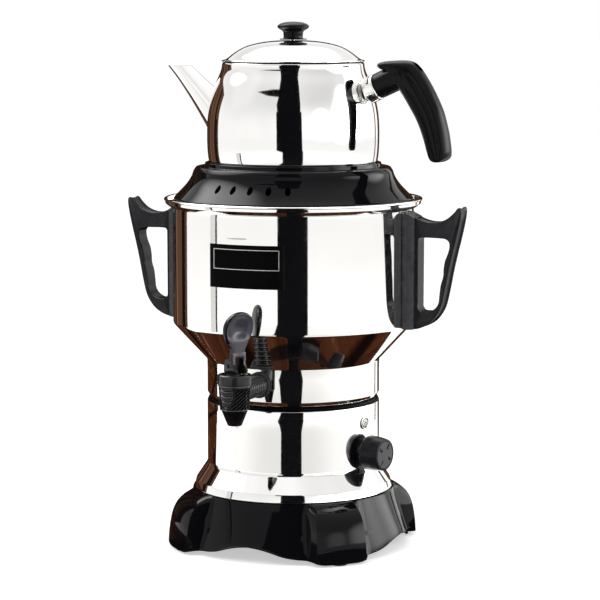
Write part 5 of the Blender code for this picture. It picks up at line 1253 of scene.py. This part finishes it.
def paleGlow(name):                  # the pale table top, a little darker near the samovar, a painted shadow, and towards the camera
    look, tree, glow = glowOf(name, (1.0, 1.0, 0.99))
    place = node(tree, "VectorMath", {"operation": "SUBTRACT"}, in0=node(tree, "TexCoord").outputs["Object"], in1=(0, axisY, 0))
    reach = node(tree, "VectorMath", {"operation": "LENGTH"}, in0=place.outputs[0])
    fade = node(tree, "MapRange", {"interpolation_type": "SMOOTHSTEP"}, Value=reach.outputs["Value"], in1=0.55, in2=1.0, in3=0.0, in4=0.22)
    way = node(tree, "VectorMath", {"operation": "NORMALIZE"}, in0=place.outputs[0])
    ahead = node(tree, "VectorMath", {"operation": "DOT_PRODUCT"}, in0=way.outputs[0], in1=heading(view["azimuth"] - 6))
    shade = node(tree, "MapRange", {"interpolation_type": "SMOOTHSTEP"}, Value=ahead.outputs["Value"], in1=0.42, in2=0.98, in3=1.14, in4=0.90)
    both = node(tree, "Math", {"operation": "ADD"}, in0=fade.outputs[0], in1=shade.outputs[0])
    tree.links.new(both.outputs[0], glow.inputs["Strength"])
    return look


def makeWorld():
    world = bpy.data.worlds.new("studioWorld")
    bpy.context.scene.world = world
    world.use_nodes = True
    tree = world.node_tree
    path = node(tree, "LightPath")
    light = tree.nodes["Background"]
    way = node(tree, "TexCoord").outputs["Generated"]
    up = node(tree, "SeparateXYZ", in0=way).outputs[2]
    height = node(tree, "MapRange", Value=up, in1=-1.0, in2=1.0)
    bands = tree.nodes.new("ShaderNodeValToRGB")
    bands.color_ramp.interpolation = "B_SPLINE"
    for place, value in skyBands[1:-1]:
        bands.color_ramp.elements.new(place)
    for element, (place, value) in zip(bands.color_ramp.elements, skyBands):
        element.position = place
        element.color = (value, value, value, 1)
    tree.links.new(height.outputs[0], bands.inputs[0])
    cloud = node(tree, "TexNoise", Vector=way, Scale=1.6, Detail=1.0)
    cloudy = node(tree, "MapRange", Value=cloud.outputs[0], in1=0.3, in2=0.7, in3=1.24, in4=1.34)
    mirrored = node(tree, "Math", {"operation": "MULTIPLY"}, in0=bands.outputs[0], in1=cloudy.outputs[0])
    plain = node(tree, "Math", {"operation": "MAXIMUM"}, in0=path.outputs["Is Camera Ray"], in1=path.outputs["Is Transmission Ray"])
    seen = node(tree, "Mix", Factor=plain.outputs[0], in2=studio["diffuse"], in3=studio["camera"])
    aside = node(tree, "VectorMath", {"operation": "DOT_PRODUCT"}, in0=way, in1=heading(view["azimuth"] + 90))
    side = node(tree, "MapRange", {"interpolation_type": "SMOOTHSTEP"}, Value=aside.outputs["Value"], in1=-0.8, in2=0.8,
                in3=studio["leftSky"], in4=studio["rightSky"])
    sided = node(tree, "Math", {"operation": "MULTIPLY"}, in0=mirrored.outputs[0], in1=side.outputs[0])
    lit = sided
    for angle, climb, inner, outer, power in softBoxes:
        towards = node(tree, "VectorMath", {"operation": "DOT_PRODUCT"}, in0=way, in1=heading(view["azimuth"] + angle, climb))
        box = node(tree, "MapRange", {"interpolation_type": "SMOOTHSTEP"}, Value=towards.outputs["Value"],
                   in1=math.cos(math.radians(outer)), in2=math.cos(math.radians(inner)), in4=power)
        lit = node(tree, "Math", {"operation": "ADD"}, in0=lit.outputs[0], in1=box.outputs[0])
    strength = node(tree, "Mix", Factor=path.outputs["Is Glossy Ray"], in2=seen.outputs[0], in3=lit.outputs[0])
    tree.links.new(strength.outputs[0], light.inputs["Strength"])
    light.inputs["Color"].default_value = (1.0, 1.0, 1.0, 1)


def makeFloor():
    look, tree, shader = newLook("paleFloor", (0.86, 0.86, 0.855), 0.0, 0.9)
    shader.inputs["Specular IOR Level"].default_value = 0.0
    shader.inputs["Emission Color"].default_value = (1, 1, 1, 1)
    path = node(tree, "LightPath")
    seen = node(tree, "Math", {"operation": "ADD"}, in0=path.outputs["Is Camera Ray"], in1=path.outputs["Is Glossy Ray"])
    glow = node(tree, "MapRange", Value=seen.outputs[0], in3=0.36, in4=0.52)
    tree.links.new(glow.outputs[0], shader.inputs["Emission Strength"])
    bm = bmesh.new()
    bmesh.ops.create_grid(bm, x_segments=1, y_segments=1, size=6.0)
    stageCard("studioFloor", bm, look)


def tableCard(name, first, last, near, far, look, height=0.2):
    bm = bmesh.new()
    rows = []
    for k in range(25):
        at = math.radians(view["azimuth"] + first + (last - first) * k / 24)
        rows.append([bm.verts.new((math.sin(at) * reach, axisY - math.cos(at) * reach, height * mm)) for reach in (near, far)])
    for (a, b), (c, d) in zip(rows, rows[1:]):
        bm.faces.new((a, b, d, c))
    onlyReflected(stageCard(name, bm, look))


def makeStudio():
    makeWorld()
    makeFloor()
    dark, _, _ = glowOf("darkCard", (0.004, 0.004, 0.005))
    soft, _, _ = glowOf("softGrey", (0.80, 0.80, 0.79))
    wood = woodGlow("reflectedWood", studio["wood"], 26.0)
    streaks = woodGlow("reflectedGrain", studio["streak"], 9.0, (1.0, 1.0, 0.04), 1.1)
    profileCard("darkWay", 0.62, darkWay, dark)
    profileCard("darkWayNear", 0.20, nearWay, dark)
    tableCard("darkWayFloor", -15.3, 10.1, 0.28, 0.62, dark, 0.5)
    tableCard("darkWayFoot", -8.0, 9.0, 0.06, 0.28, dark, 0.5)
    profileCard("darkFin", 0.20, [(443, -34, -17), (446, -48, -17), (455, -36, -17), (463, -20, -17)], dark)
    flatCard("thinGap", -72.3, 1.0, 0.62, 0.06, 0.222, dark, 2)
    flatCard("softEdge", -76.5, 2.6, 0.63, 0.0, 0.222, soft, 2)
    flatCard("thinGapLeft", -119.5, 1.6, 0.62, 0.0, 0.36, dark, 2)
    flatCard("thinGapRight", 136.5, 1.8, 0.62, 0.0, 0.60, dark, 2)
    flatCard("woodWallLeft", -134.0, 18.0, 0.9, 0.0, 0.60, streaks, 24)
    flatCard("woodWallBack", -170.0, 18.0, 0.9, 0.0, 0.60, wood, 12)
    flatCard("woodWallRight", 165.0, 15.0, 0.9, 0.0, 0.60, streaks, 12)
    tableCard("woodTableFront", -68, -8, 0.0, 0.36, wood)
    tableCard("woodTableSide", -8, 68, 0.0, 0.27, wood)
    tableCard("woodTableBack", 68, 292, 0.0, 0.27, wood)
    tableCard("woodTableLeft", 180, 241, 0.27, 0.9, wood)
    tableCard("woodTableRight", 150, 180, 0.27, 0.9, wood)
    tableCard("paleTable", -80, 70, 0.37, 1.3, paleGlow("paleTable"))

    for name, angle, rise, reach, size, power in (("keyLamp", -48, 42, 1.7, 1.1, studio["key"]), ("fillLamp", 62, 28, 1.9, 1.3, studio["fill"]),
                                                  ("topLamp", 0, 84, 1.6, 1.4, studio["fill"])):
        lamp = bpy.data.lights.new(name, "AREA")
        lamp.energy = power
        lamp.shape = "DISK"
        lamp.size = size
        obj = bpy.data.objects.new(name, lamp)
        bpy.context.scene.collection.objects.link(obj)
        obj.visible_glossy = False
        way = heading(view["azimuth"] + angle, rise)
        obj.location = Vector((0, axisY, 0.2)) + way * reach
        obj.rotation_mode = "QUATERNION"
        obj.rotation_quaternion = way.to_track_quat("Z", "Y")

    cameraData = bpy.data.cameras.new("photoCamera")
    cameraData.sensor_width = 36.0
    cameraData.lens = view["focal"]
    cameraObject = bpy.data.objects.new("photoCamera", cameraData)
    bpy.context.scene.collection.objects.link(cameraObject)
    way = heading(view["azimuth"], view["elevation"])
    right = Vector((math.cos(math.radians(view["azimuth"])), math.sin(math.radians(view["azimuth"])), 0))
    aim = Vector((0, axisY, view["height"]))
    cameraObject.location = aim + way * view["distance"]
    cameraObject.rotation_mode = "QUATERNION"
    cameraObject.rotation_quaternion = (cameraObject.location - aim - right * view["aside"]).to_track_quat("Z", "Y")
    bpy.context.scene.camera = cameraObject
    bpy.context.scene.view_settings.view_transform = "Standard"


makeTank()
makeLevelMark()
makeCasing()
print("boiler and casing made")
makeBase()
makeCover()
makePads()
makeScrews()
makeGland()
print("base made")
makeKnob()
makeLens()
makeSideHandles()
makeLabel()
print("fittings made")
makeTap()
makeLever()
print("tap made")
makeCollar()
makePot()
makeSpout()
makeGrip()
makeBracket()
makeLid()
print("teapot made")
finishCarried()
makeStudio()
print("studio made")
